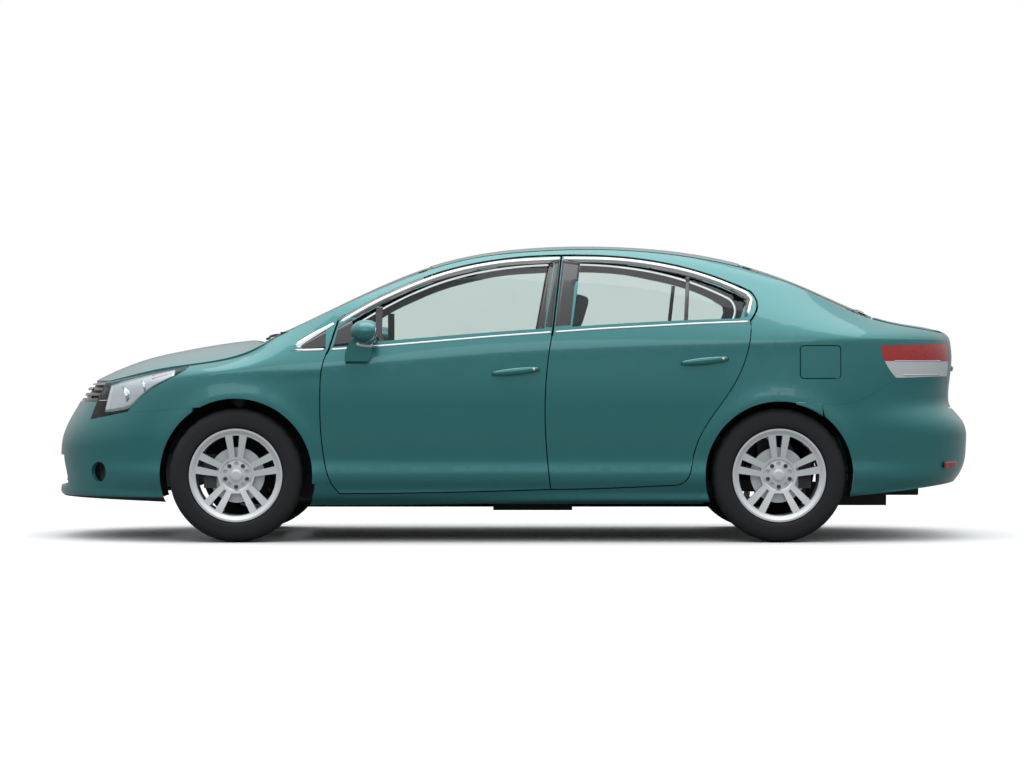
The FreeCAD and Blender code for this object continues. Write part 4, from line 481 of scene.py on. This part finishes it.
def bar(points, radii, segments=12):
    """A closed round bar through points, with an (across, up) radius at each."""
    line = [Vector(p) for p in points]
    verts = []
    faces = []
    for k, spot in enumerate(line):
        along = (line[min(len(line) - 1, k + 1)] - line[max(0, k - 1)]).normalized()
        side = along.cross(Vector((0, 0, 1)))
        if side.length < 1e-4:
            side = Vector((0, 1, 0))
        side.normalize()
        up = side.cross(along)
        ra, rb = radii[k]
        for s in range(segments):
            angle = 2 * math.pi * s / segments
            verts.append(spot + side * (math.cos(angle) * ra) + up * (math.sin(angle) * rb))
    for k in range(len(line) - 1):
        for s in range(segments):
            a = k * segments + s
            b = k * segments + (s + 1) % segments
            faces.append((a, b, b + segments, a + segments))
    faces.append(tuple(range(segments))[::-1])
    faces.append(tuple(range((len(line) - 1) * segments, len(line) * segments)))
    return verts, faces


DOORS = {"front": ("front_door_left", "front_door_right"), "rear": ("rear_door_left", "rear_door_right")}
FIXED = ("body", "body")
front_skin = Skin("door_front_left", "glass_front_left")
rear_skin = Skin("door_rear_left", "glass_rear_left")
front_frame = Skin("door_front_left")
rear_frame = Skin("door_rear_left")
side_skin = Skin("body_sides", "front_fenders")


def moulding(name, skin, view, points, width, height, material, bodies, slot="alloy", **more):
    """A raised strip on the skin, on both sides of the car."""
    both(name, *strip(skin, view, points, width, height, **more), material, bodies, slot)


def cover(name, skin, low, high, rise, bodies):
    """A black sheet between two edges on the skin, on both sides of the car."""
    both(name, *between(skin, "left", low, high, rise), gloss_black, bodies, "black_plastic")


# Bright mouldings round the side windows.

FRONT_TOP = [(-0.868, 1.108), (-0.654, 1.229), (-0.357, 1.352), (-0.060, 1.416), (0.243, 1.436)]
REAR_TOP = [(0.262, 1.437), (0.560, 1.428), (0.833, 1.384), (1.031, 1.324), (1.180, 1.258)]
REAR_TAIL = [(1.180, 1.258), (1.209, 1.225), (1.211, 1.205), (1.188, 1.120)]
BELT = [(-1.096, 0.948), (-0.555, 0.989), (-0.060, 1.031), (0.436, 1.066), (0.932, 1.093), (1.185, 1.103)]
TRIM_WIDTH = 0.015
TRIM_INSET = 0.014
TRIM_HEIGHT = 0.003
TRIM_STEP = 0.05
BELT_WIDTH = 0.010
BELT_DROP = -0.004


def belt(x):
    for (x0, z0), (x1, z1) in zip(BELT, BELT[1:]):
        if x <= x1:
            return z0 + (z1 - z0) * (x - x0) / (x1 - x0)
    return BELT[-1][1]


def belt_run(x0, x1, lift=0.0):
    return [(x0 + (x1 - x0) * k / 4, belt(x0 + (x1 - x0) * k / 4) + lift) for k in range(5)]


top_front = beside(path(FRONT_TOP, TRIM_STEP), -TRIM_INSET)
top_rear = beside(path(REAR_TOP, TRIM_STEP), -TRIM_INSET)
tail_run = beside(path(REAR_TAIL, 0.02), -TRIM_INSET)
moulding("window_trim_front", front_frame, "left", top_front, TRIM_WIDTH, TRIM_HEIGHT, chrome, DOORS["front"])
moulding("window_trim_rear", rear_frame, "left", top_rear + tail_run[1:], TRIM_WIDTH, TRIM_HEIGHT, chrome,
         DOORS["rear"], step=0.010)
moulding("belt_trim_front", front_frame, "left", belt_run(-0.900, 0.196, BELT_DROP), BELT_WIDTH, TRIM_HEIGHT,
         chrome, DOORS["front"])
moulding("belt_trim_rear", rear_frame, "left", belt_run(0.214, 1.178, BELT_DROP), BELT_WIDTH, TRIM_HEIGHT,
         chrome, DOORS["rear"])

# Black window frames, pillar covers and dividers.

FRONT_GLASS_TOP = [(-0.800, 1.098), (-0.600, 1.212), (-0.340, 1.316), (-0.060, 1.378), (0.196, 1.397)]
REAR_GLASS_TOP = [(0.330, 1.399), (0.560, 1.390), (0.820, 1.344), (1.010, 1.288), (1.172, 1.208)]
FRAME_RISE = 0.0008
PILLAR_RISE = 0.0016
DIVIDER_HEIGHT = 0.002
FRAME_INSET = TRIM_INSET + 0.006
front_edge = beside(path(FRONT_TOP, TRIM_STEP), -FRAME_INSET)
rear_edge = beside(path(REAR_TOP, TRIM_STEP), -FRAME_INSET)
cover("frame_cover_front", front_frame, FRONT_GLASS_TOP, front_edge, FRAME_RISE, DOORS["front"])
cover("frame_cover_rear", rear_frame, REAR_GLASS_TOP, rear_edge, FRAME_RISE, DOORS["rear"])
cover("pillar_cover_front", front_skin, [(0.124, 1.056), (0.185, 1.397)], [(0.196, 1.056), (0.240, 1.412)],
      PILLAR_RISE, DOORS["front"])
cover("pillar_cover_rear", rear_skin, [(0.214, 1.060), (0.256, 1.413)], [(0.304, 1.068), (0.343, 1.398)],
      PILLAR_RISE, DOORS["rear"])
moulding("quarter_bar_front", front_skin, "left", [(-0.668, 0.984), (-0.664, 1.175)], 0.036, DIVIDER_HEIGHT,
         gloss_black, DOORS["front"], "black_plastic")
moulding("quarter_bar_rear", rear_skin, "left", [(0.866, 1.092), (0.884, 1.325)], 0.020, DIVIDER_HEIGHT,
         gloss_black, DOORS["rear"], "black_plastic")

# Door handles: the pull bar and the lock.

HANDLE_HALF = 0.116
HANDLE_SLOPE = 0.10
HANDLE_STATIONS = 10
LOCK_AT = 0.78
LOCK_REACH = 0.030


def handle(name, centre, skin, bodies):
    """A pull bar that bows out from the skin, with a lock at its rear end."""
    u, v = centre
    half = HANDLE_HALF
    stations = [k / HANDLE_STATIONS for k in range(-HANDLE_STATIONS, HANDLE_STATIONS + 1)]
    line = []
    radii = []
    for s in stations:
        spot = skin.left(u + s * half, v + s * half * HANDLE_SLOPE)
        lift = 0.006 + 0.016 * (1 - abs(s) ** 3)
        line.append((spot.x, spot.y - lift, spot.z))
        radii.append((0.007 + 0.003 * (1 - s * s), 0.008 + 0.009 * (1 - s * s * 0.8)))
    both(name + "_bar", *bar(line, radii), paint, bodies, "paint")
    lock_at = skin.left(u + half * LOCK_AT, v + half * LOCK_AT * HANDLE_SLOPE)
    lock = [(lock_at.x, lock_at.y - LOCK_REACH + t * 0.010, lock_at.z) for t in (0.0, 0.3, 1.0)]
    both(name + "_lock", *bar(lock, [(0.0065, 0.0065), (0.008, 0.008), (0.008, 0.008)], 16), chrome, bodies,
         "alloy")


handle("handle_front", (0.018, 0.851), front_frame, DOORS["front"])
handle("handle_rear", (0.957, 0.903), rear_frame, DOORS["rear"])


# Wheels: bolts and caps, and tyres with tread grooves, shoulder blocks and sidewall rings.

TREAD = 0.3335
GROOVE = 0.0075
SHOULDER_CUT = 0.0045
TYRE_STEPS = 84


def tyre_profile():
    """The section from bead to bead, as (distance from the centre plane, radius, is shoulder)."""
    half = [
        (0.000, TREAD, 0), (0.018, TREAD, 0), (0.0185, TREAD - GROOVE, 0), (0.0265, TREAD - GROOVE, 0),
        (0.027, TREAD - 0.0003, 0), (0.052, TREAD - 0.0010, 0), (0.0525, TREAD - GROOVE, 0),
        (0.060, TREAD - GROOVE, 0), (0.0605, TREAD - 0.0014, 0), (0.080, TREAD - 0.004, 1),
        (0.092, TREAD - 0.011, 1), (0.101, 0.309, 0), (0.1068, 0.285, 0), (0.1055, 0.268, 0),
        (0.1062, 0.262, 0), (0.1030, 0.246, 0), (0.0990, 0.237, 0)]
    return [(-a, r, s) for a, r, s in half[:0:-1]] + half


def tyre(name, x, sign, body, node):
    profile = tyre_profile()
    centre = Vector((x, sign * HALF_TRACK, AXLE_Z))
    count = len(profile)
    verts = []
    for k in range(TYRE_STEPS):
        angle = 2 * math.pi * k / TYRE_STEPS
        for a, radius, shoulder in profile:
            r = radius - (SHOULDER_CUT if shoulder and k % 3 == 0 else 0.0)
            verts.append(centre + Vector((math.cos(angle) * r, a * sign, math.sin(angle) * r)))
    faces = []
    for k in range(TYRE_STEPS):
        after = (k + 1) % TYRE_STEPS
        for j in range(count - 1):
            faces.append((k * count + j, k * count + j + 1, after * count + j + 1, after * count + j))
        faces.append((k * count + count - 1, k * count, after * count, after * count + count - 1))
    if sign > 0:
        faces = [f[::-1] for f in faces]
    made = placed(name, verts, faces, tyre_black, body, "tyre_rubber")
    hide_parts(node)


BOLT_CIRCLE = 0.05715
BOLTS = 5
FIRST_BOLT = 126
BOLT_RADIUS = 0.0105
OUTSIDE = 1.4


def wheel_details(name, x, sign, body, node):
    """Five bolts in a ring and a bare cap, on the wheel's outer face."""
    skin = Skin(node)
    face_y = skin.cast((x, sign * OUTSIDE, AXLE_Z), (0, -sign, 0)).y
    verts = []
    faces = []

    def add(more, more_faces):
        first = len(verts)
        verts.extend(more)
        faces.extend(tuple(first + k for k in f) for f in more_faces)

    for k in range(BOLTS):
        angle = math.radians(FIRST_BOLT + 360 / BOLTS * k)
        bx = x + BOLT_CIRCLE * math.cos(angle)
        bz = AXLE_Z + BOLT_CIRCLE * math.sin(angle)
        seat = skin.cast((bx, sign * OUTSIDE, bz), (0, -sign, 0))
        base = seat.y if seat else face_y
        line = [(bx, base - sign * 0.004, bz), (bx, base + sign * 0.012, bz), (bx, base + sign * 0.016, bz)]
        add(*bar(line, [(BOLT_RADIUS, BOLT_RADIUS), (BOLT_RADIUS, BOLT_RADIUS), (0.007, 0.007)], 6))
    placed(name + "_bolts", verts, faces, iron, body, "alloy", smooth=False)
    cap = [(x, face_y - sign * 0.004, AXLE_Z), (x, face_y + sign * 0.001, AXLE_Z),
           (x, face_y + sign * 0.0035, AXLE_Z), (x, face_y + sign * 0.0045, AXLE_Z)]
    placed(name + "_cap", *bar(cap, [(r, r) for r in (0.031, 0.031, 0.028, 0.016)], 40), alloy,
           body, "alloy")


for axle in ("front", "rear"):
    for side, sign in (("left", -1), ("right", 1)):
        rolling = f"road_wheel_{axle}_{side}"
        tyre(f"tread_{axle}_{side}", AXLE_X[axle], sign, rolling, f"tyre_{axle}_{side}")
        wheel_details(f"hub_{axle}_{side}", AXLE_X[axle], sign, rolling, f"wheel_{axle}_{side}")


# A filler panel at the upper rear corner of each rear arch, level with the skin round it.

FILLER_TOP = 0.697
FILLER_RADIUS = 0.362
FILLER_FROM, FILLER_TO = 1.408, 1.541
FILLER_DEPTH = 0.006
BEHIND_ARCH = 1.560


def arch_filler():
    """A closed panel between the arch's edge and a level line, curved down as the skin behind it is."""
    above = Skin("body_sides")
    behind = Skin("rear_bumper", "body_sides")
    far = behind.left(BEHIND_ARCH, FILLER_TOP - 0.004)
    verts = []
    columns, rows = 14, 5
    for i in range(columns + 1):
        x = FILLER_FROM + (FILLER_TO - FILLER_FROM) * i / columns
        reach = x - AXLE_X["rear"]
        low = AXLE_Z + math.sqrt(max(0.0, FILLER_RADIUS ** 2 - reach ** 2))
        edge = above.left(x, FILLER_TOP + 0.003)
        for j in range(rows + 1):
            z = low + (FILLER_TOP - low) * j / rows
            drop = behind.left(BEHIND_ARCH, z)
            level = edge.y + (drop.y - far.y if drop and far else 0.0)
            verts.append((x, level - 0.0006, z))
    count = len(verts)
    verts += [(x, y + FILLER_DEPTH, z) for x, y, z in verts]
    faces = []
    lanes = rows + 1
    for i in range(columns):
        for j in range(rows):
            a = i * lanes + j
            faces.append((a, a + lanes, a + lanes + 1, a + 1))
            faces.append((count + a, count + a + 1, count + a + lanes + 1, count + a + lanes))
    ring = ([i * lanes for i in range(columns)] + [columns * lanes + j for j in range(rows)]
            + [i * lanes + rows for i in range(columns, 0, -1)] + [j for j in range(rows, 0, -1)])
    for a, b in zip(ring, ring[1:] + ring[:1]):
        faces.append((a, count + a, count + b, b))
    return verts, faces


both("arch_filler", *arch_filler(), paint, FIXED, "paint")

# The corner ahead of each front window and behind each rear one, and the thick bright tip.

cover("corner_cover", side_skin, [(-1.045, 0.957), (-0.985, 0.960), (-0.928, 0.964)],
      [(-1.045, 0.982), (-0.985, 1.022), (-0.928, 1.058)], 0.0014, FIXED)
cover("corner_cover_door", front_frame, [(-0.889, 0.974), (-0.845, 0.977), (-0.798, 0.981)],
      [(-0.866, 1.072), (-0.832, 1.096), (-0.798, 1.116)], 0.0012, DOORS["front"])
cover("corner_cover_rear", rear_frame, [(1.090, 1.262), (1.140, 1.228), (1.162, 1.195), (1.158, 1.116)],
      [(1.140, 1.275), (1.182, 1.232), (1.190, 1.203), (1.172, 1.118)], 0.0010, DOORS["rear"])
moulding("tip_trim", side_skin, "left", [(-1.078, 0.966), (-1.045, 0.997), (-0.977, 1.040), (-0.890, 1.090)],
         (2 * TRIM_WIDTH, TRIM_WIDTH), TRIM_HEIGHT, chrome, FIXED, step=0.010)
moulding("belt_trim_tip", side_skin, "left", [(-1.082, 0.955), (-1.000, 0.957), (-0.934, 0.960)], 0.012,
         TRIM_HEIGHT, chrome, FIXED)

# Lamps.

LAMP_LOW = [(-2.050, 0.648), (-1.985, 0.655), (-1.915, 0.672), (-1.862, 0.722), (-1.800, 0.772),
            (-1.690, 0.832)]
LAMP_HIGH = [(-2.024, 0.782), (-1.940, 0.808), (-1.870, 0.824), (-1.800, 0.840), (-1.740, 0.852),
             (-1.685, 0.862)]
BACKING_DEPTH = 0.026
BOWL_WAY = Vector((0.86, 0.50, 0.0))
BOWL_DEPTHS = (0.014, 0.018, 0.030, 0.031)
lamp_skin = Skin("headlamps")
both("lamp_backing", *between(lamp_skin, "left", LAMP_LOW, LAMP_HIGH, -BACKING_DEPTH, sink=0.003, lanes=10),
     reflector, FIXED, "alloy")


def bowl(name, x, z, radius):
    """A round reflector behind the lens, narrowing inwards."""
    spot = lamp_skin.left(x, z)
    line = [spot + BOWL_WAY * t for t in BOWL_DEPTHS]
    radii = [(radius, radius), (radius * 0.9, radius * 0.9), (radius * 0.5, radius * 0.5), (0.004, 0.004)]
    both(name, *bar(line[::-1], radii[::-1], 28), chrome, FIXED, "alloy")


bowl("lamp_bowl_main", -1.965, 0.725, 0.052)
bowl("lamp_bowl_high", -1.865, 0.770, 0.036)
moulding("lamp_turn_signal", lamp_skin, "left", [(-1.800, 0.826), (-1.700, 0.850)], 0.016, -0.010, amber,
         FIXED, sink=0.012)
tail_skin = Skin("tail_lamps")
moulding("tail_lamp_rim", tail_skin, "left", [(1.925, 0.832), (2.030, 0.832), (2.150, 0.834)], 0.008, 0.0015,
         reflector, FIXED)
moulding("tail_lamp_split", tail_skin, "left", [(1.880, 0.903), (2.000, 0.903), (2.160, 0.904)], 0.006,
         0.0012, reflector, FIXED)

# Front: bright bars on the grille.

GRILLE_BARS = (0.722, 0.762)
grille_skin = Skin("grille")
for height in GRILLE_BARS:
    line = [(-0.44, height), (-0.22, height + 0.002), (0.0, height + 0.003), (0.22, height + 0.002),
            (0.44, height)]
    placed(f"grille_bar_{round(height * 1000)}", *strip(grille_skin, "nose", line, 0.010, 0.004, step=0.02),
           chrome, "body", "alloy")

# Wipers and screen borders.

WIPER_LIFT = 0.010
WIPER_STEPS = 14
PIVOT_SIZE = (0.007, 0.006)
BLADE_SIZE = (0.005, 0.007)


def wiper(name, pivot, tip):
    """An arm and blade a little above the screen, from its pivot to its tip, both (x, y)."""
    skin = Skin("windscreen", "cowl")
    line = []
    for k in range(WIPER_STEPS + 1):
        t = k / WIPER_STEPS
        spot = skin.top(pivot[0] + (tip[0] - pivot[0]) * t, pivot[1] + (tip[1] - pivot[1]) * t)
        line.append((spot.x, spot.y, spot.z + WIPER_LIFT))
    placed(name, *bar(line, [PIVOT_SIZE] * 2 + [BLADE_SIZE] * (WIPER_STEPS - 1), 8), black, "body",
           "black_plastic")


wiper("wiper_left", (-1.252, -0.42), (-1.222, 0.16))
wiper("wiper_right", (-1.246, 0.10), (-1.196, 0.60))


def side_limit(skin, x, far):
    """How far out, in y, a pane reaches at a station."""
    inside, outside = 0.0, far
    for _ in range(18):
        middle = (inside + outside) / 2
        if skin.top(x, middle):
            inside = middle
        else:
            outside = middle
    return inside


BORDER = 0.042
BORDER_INSET = 0.003
SIDE_RISE = 0.0009
CROSS_RISE = 0.0007


def screen_border(name, node, x_low, x_high, low_slot, high_slot):
    """The black border on a screen: one strip down each side, and one across each end."""
    skin = Skin(node)
    stations = [x_low + (x_high - x_low) * k / 14 for k in range(15)]
    side = [(x, side_limit(skin, x, 0.9) - BORDER / 2 - BORDER_INSET) for x in stations]
    for label, points in (("left", [(x, -y) for x, y in side]), ("right", side)):
        placed(f"{name}_{label}", *strip(skin, "top", points, BORDER, SIDE_RISE, step=0.03), gloss_black,
               "body", "black_plastic")
    for label, x, limit in (("low", low_slot, side[0][1]), ("high", high_slot, side[-1][1])):
        points = [(x, -limit + 2 * limit * k / 8) for k in range(9)]
        placed(f"{name}_{label}", *strip(skin, "top", points, BORDER, CROSS_RISE, step=0.04), gloss_black,
               "body", "black_plastic")


screen_border("windscreen_border", "windscreen", -1.150, -0.470, -1.150, -0.455)
screen_border("rear_window_border", "rear_window", 1.200, 1.776, 1.196, 1.776)

# Tail: blank plate, lid handle and reflectors.

PLATE_HALF = 0.26
PLATE_LOW, PLATE_HIGH = 0.712, 0.822
PLATE_RISE = 0.004
lid_skin = Skin("boot_lid")
rear_skin_low = Skin("rear_bumper")
plate_edges = [[(y, z) for y in (-PLATE_HALF, 0.0, PLATE_HALF)] for z in (PLATE_LOW, PLATE_HIGH)]
placed("rear_plate", *between(lid_skin, "tail", *plate_edges, PLATE_RISE, lanes=8), plate_white,
       "boot_lid_body", "alloy")
placed("lid_handle", *strip(lid_skin, "tail", [(-0.30, 0.868), (0.0, 0.870), (0.30, 0.868)], 0.030, 0.012),
       chrome, "boot_lid_body", "alloy")
moulding("rear_reflector", rear_skin_low, "tail", [(-0.690, 0.380), (-0.630, 0.380), (-0.560, 0.380)], 0.032,
         0.003, red_lens, FIXED, "lamp_red")

# Seats: crowned pads with sewn seams, and their frames.

SEAM_DEPTH = 0.055
SEAM_WIDTH = 0.022
SEAT_Y = 0.37
SEAT_HALF = 0.232
BENCH_HALF = 0.530
SEAM_AT = 0.62
BENCH_SEAM_AT = 0.33


def power(value, exponent):
    return math.copysign(abs(value) ** exponent, value)


def pad(name, centre, half, lean, seams, across=36, round_steps=44):
    """A stuffed pad: a rounded box, crowned on its faces, with a groove along each seam."""
    verts = []
    c, s = math.cos(lean), math.sin(lean)
    for i in range(1, across):
        v = math.pi * (i / across - 0.5)
        for k in range(round_steps):
            w = 2 * math.pi * k / round_steps
            x = half[0] * power(math.cos(v), 0.42) * power(math.cos(w), 0.50)
            y = half[1] * power(math.sin(v), 0.36)
            z = half[2] * power(math.cos(v), 0.30) * power(math.sin(w), 0.42)
            dent = 0.0
            for kind, at in seams:
                gap = (y / half[1] if kind == "y" else z / half[2]) - at
                dent += SEAM_DEPTH * math.exp(-(gap / SEAM_WIDTH) ** 2)
            x *= 1 - dent * 1.6 if abs(x) > half[0] * 0.3 else 1
            z *= 1 - dent * 0.25
            verts.append(Vector((centre[0] + x * c + z * s, centre[1] + y, centre[2] - x * s + z * c)))
    rows = across - 1
    low = len(verts)
    verts.append(Vector((centre[0], centre[1] - half[1], centre[2])))
    verts.append(Vector((centre[0], centre[1] + half[1], centre[2])))
    faces = []
    for i in range(rows - 1):
        for k in range(round_steps):
            n = (k + 1) % round_steps
            a, b = i * round_steps + k, i * round_steps + n
            faces.append((a, b, b + round_steps, a + round_steps))
    for k in range(round_steps):
        n = (k + 1) % round_steps
        faces.append((low, n, k))
        faces.append((low + 1, (rows - 1) * round_steps + k, (rows - 1) * round_steps + n))
    made = placed(name, verts, faces, cloth, "body", "seat_fabric")
    return made


LEAN = math.radians(17)
side_seams = [("y", -SEAM_AT), ("y", SEAM_AT)]
bench_seams = [("y", -BENCH_SEAM_AT), ("y", BENCH_SEAM_AT)]
for side, y in (("left", -SEAT_Y), ("right", SEAT_Y)):
    squab = pad(f"front_seat_{side}_cushion", (-0.075, y, 0.470), (0.255, SEAT_HALF, 0.072), math.radians(-7),
                side_seams)
    back = pad(f"front_seat_{side}_back", (0.228, y, 0.775), (0.066, SEAT_HALF, 0.300), LEAN,
               side_seams + [("z", 0.45)])
    rest = pad(f"front_seat_{side}_headrest", (0.335, y, 1.160), (0.042, 0.135, 0.085), LEAN, [("y", 0.0)],
               across=24, round_steps=32)
    for made in (squab, back, rest):
        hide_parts("front_seats")
    for post, offset in (("inner", -0.055), ("outer", 0.055)):
        line = [(0.300, y + offset, 1.020), (0.332, y + offset, 1.130)]
        placed(f"front_seat_{side}_post_{post}", *bar(line, [(0.006, 0.006)] * 2, 10), chrome, "body",
               "alloy")
    for rail, offset in (("inner", -0.17), ("outer", 0.17)):
        line = [(-0.300, y + offset, 0.300), (-0.290, y + offset, 0.402), (0.150, y + offset, 0.392),
                (0.160, y + offset, 0.300)]
        placed(f"front_seat_{side}_rail_{rail}", *bar(line, [(0.018, 0.022)] * 4, 10), black, "body",
               "black_plastic")
bench = pad("rear_seat_cushion", (0.995, 0.0, 0.520), (0.225, BENCH_HALF, 0.075), math.radians(-6),
            bench_seams)
bench_back = pad("rear_seat_back", (1.205, 0.0, 0.780), (0.062, BENCH_HALF, 0.235), math.radians(20),
                 bench_seams)
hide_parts("rear_seat")
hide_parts("rear_seat")
for label, y in (("left", -0.34), ("right", 0.34)):
    pad(f"rear_headrest_{label}", (1.262, y, 1.000), (0.036, 0.120, 0.046), math.radians(18), [], across=20,
        round_steps=28)

# Door mirrors: the glass and the side lamp.


def ellipse_grid(centre, half_long, half_high, rings=7, spokes=36):
    """Rows of points from near the centre of an ellipse to its edge, one row for each spoke."""
    u, v = centre
    rows = []
    for k in range(spokes + 1):
        angle = 2 * math.pi * k / spokes
        row = []
        for r in range(1, rings + 1):
            a = half_long * r / rings * math.cos(angle)
            b = half_high * r / rings * math.sin(angle)
            row.append((u + a, v + b))
        rows.append(row)
    return rows


GLASS_RISE = 0.001
mirror_skin = Skin("mirror_left")
mirror_grid = ellipse_grid((-0.945, 1.030), 0.060, 0.046)
glass_shape = laid(mirror_skin, "tail", mirror_grid, [GLASS_RISE] * len(mirror_grid[0]), GLASS_RISE)
both("mirror_glass", *glass_shape, mirror_glass, DOORS["front"], "alloy")
moulding("mirror_lamp", mirror_skin, "left", [(-0.770, 0.985), (-0.720, 0.978), (-0.690, 0.978)], 0.016,
         0.002, reflector, DOORS["front"])

# Studio, lights and camera.

FLOOR_HALF = 60.0
FLOOR_THROWN = (0.20, 0.21, 0.21, 1)
SKY_LOW = 0.28
SKY_GAIN = 1.25
OVERHEAD_POWER = 150
NEAR_SIDE_POWER = 60


def stage_floor():
    """A white floor that throws less light back than it shows, as dark ground round a car would."""
    size = FLOOR_HALF
    corners = [(-size, -size, 0), (size, -size, 0), (size, size, 0), (-size, size, 0)]
    white = surface("floor_white", srgb(250, 250, 250), 0.9, grain=2.0, spread=0.004)
    tree = white.node_tree
    shader = tree.nodes["Principled BSDF"]
    rays = tree.nodes.new("ShaderNodeLightPath")
    mix = tree.nodes.new("ShaderNodeMix")
    mix.data_type = "RGBA"
    tree.links.new(rays.outputs["Is Camera Ray"], mix.inputs[0])
    mix.inputs[6].default_value = FLOOR_THROWN
    tree.links.new(shader.inputs["Base Color"].links[0].from_socket, mix.inputs[7])
    tree.links.new(mix.outputs[2], shader.inputs["Base Color"])
    floor = mesh_object("studio_floor", corners, [(0, 1, 2, 3)], white)


def area_light(name, where, aim, size, power):
    lamp = bpy.data.lights.new(name, "AREA")
    lamp.shape = "RECTANGLE"
    lamp.size, lamp.size_y = size
    lamp.energy = power
    made = bpy.data.objects.new(name, lamp)
    made.location = where
    made.rotation_euler = (Vector(aim) - Vector(where)).to_track_quat("-Z", "Y").to_euler()
    bpy.context.scene.collection.objects.link(made)


def world():
    """White to the camera and through the panes, and a soft light that grows with height to all else."""
    sky = bpy.data.worlds.new("studio")
    bpy.context.scene.world = sky
    sky.use_nodes = True
    tree = sky.node_tree
    tree.nodes.clear()
    output = tree.nodes.new("ShaderNodeOutputWorld")
    mix = tree.nodes.new("ShaderNodeMixShader")
    seen = tree.nodes.new("ShaderNodeBackground")
    seen.inputs["Color"].default_value = (1, 1, 1, 1)
    seen.inputs["Strength"].default_value = 1.0
    soft = tree.nodes.new("ShaderNodeBackground")
    soft.inputs["Color"].default_value = (0.96, 0.98, 1.0, 1)
    shape = tree.nodes.new("ShaderNodeNewGeometry")
    split = tree.nodes.new("ShaderNodeSeparateXYZ")
    tree.links.new(shape.outputs["Incoming"], split.inputs["Vector"])
    height = calc(tree, "MAXIMUM", calc(tree, "MULTIPLY", split.outputs[2], -1.0), 0.0)
    glow = calc(tree, "ADD", SKY_LOW, calc(tree, "MULTIPLY", height, SKY_GAIN))
    tree.links.new(glow, soft.inputs["Strength"])
    rays = tree.nodes.new("ShaderNodeLightPath")
    seen_by = calc(tree, "MAXIMUM", rays.outputs["Is Camera Ray"], rays.outputs["Is Transmission Ray"])
    tree.links.new(seen_by, mix.inputs["Fac"])
    tree.links.new(soft.outputs[0], mix.inputs[1])
    tree.links.new(seen.outputs[0], mix.inputs[2])
    tree.links.new(mix.outputs[0], output.inputs["Surface"])


stage_floor()
world()
area_light("overhead", (0.0, -0.5, 6.0), (0, 0, 0.8), (7.0, 4.0), OVERHEAD_POWER)
area_light("near_side", (-1.0, -8.0, 4.5), (0, 0, 0.8), (8.0, 3.0), NEAR_SIDE_POWER)

camera = bpy.data.cameras.new("camera")
camera.lens = FOCAL
camera.sensor_width = 36.0
camera.clip_end = 200.0
viewer = bpy.data.objects.new("camera", camera)
viewer.location = (0.0, -CAMERA_DISTANCE, CAMERA_HEIGHT)
viewer.rotation_euler = (math.radians(90), 0, 0)
bpy.context.scene.collection.objects.link(viewer)
bpy.context.scene.camera = viewer
bpy.context.scene.view_settings.view_transform = "Standard"
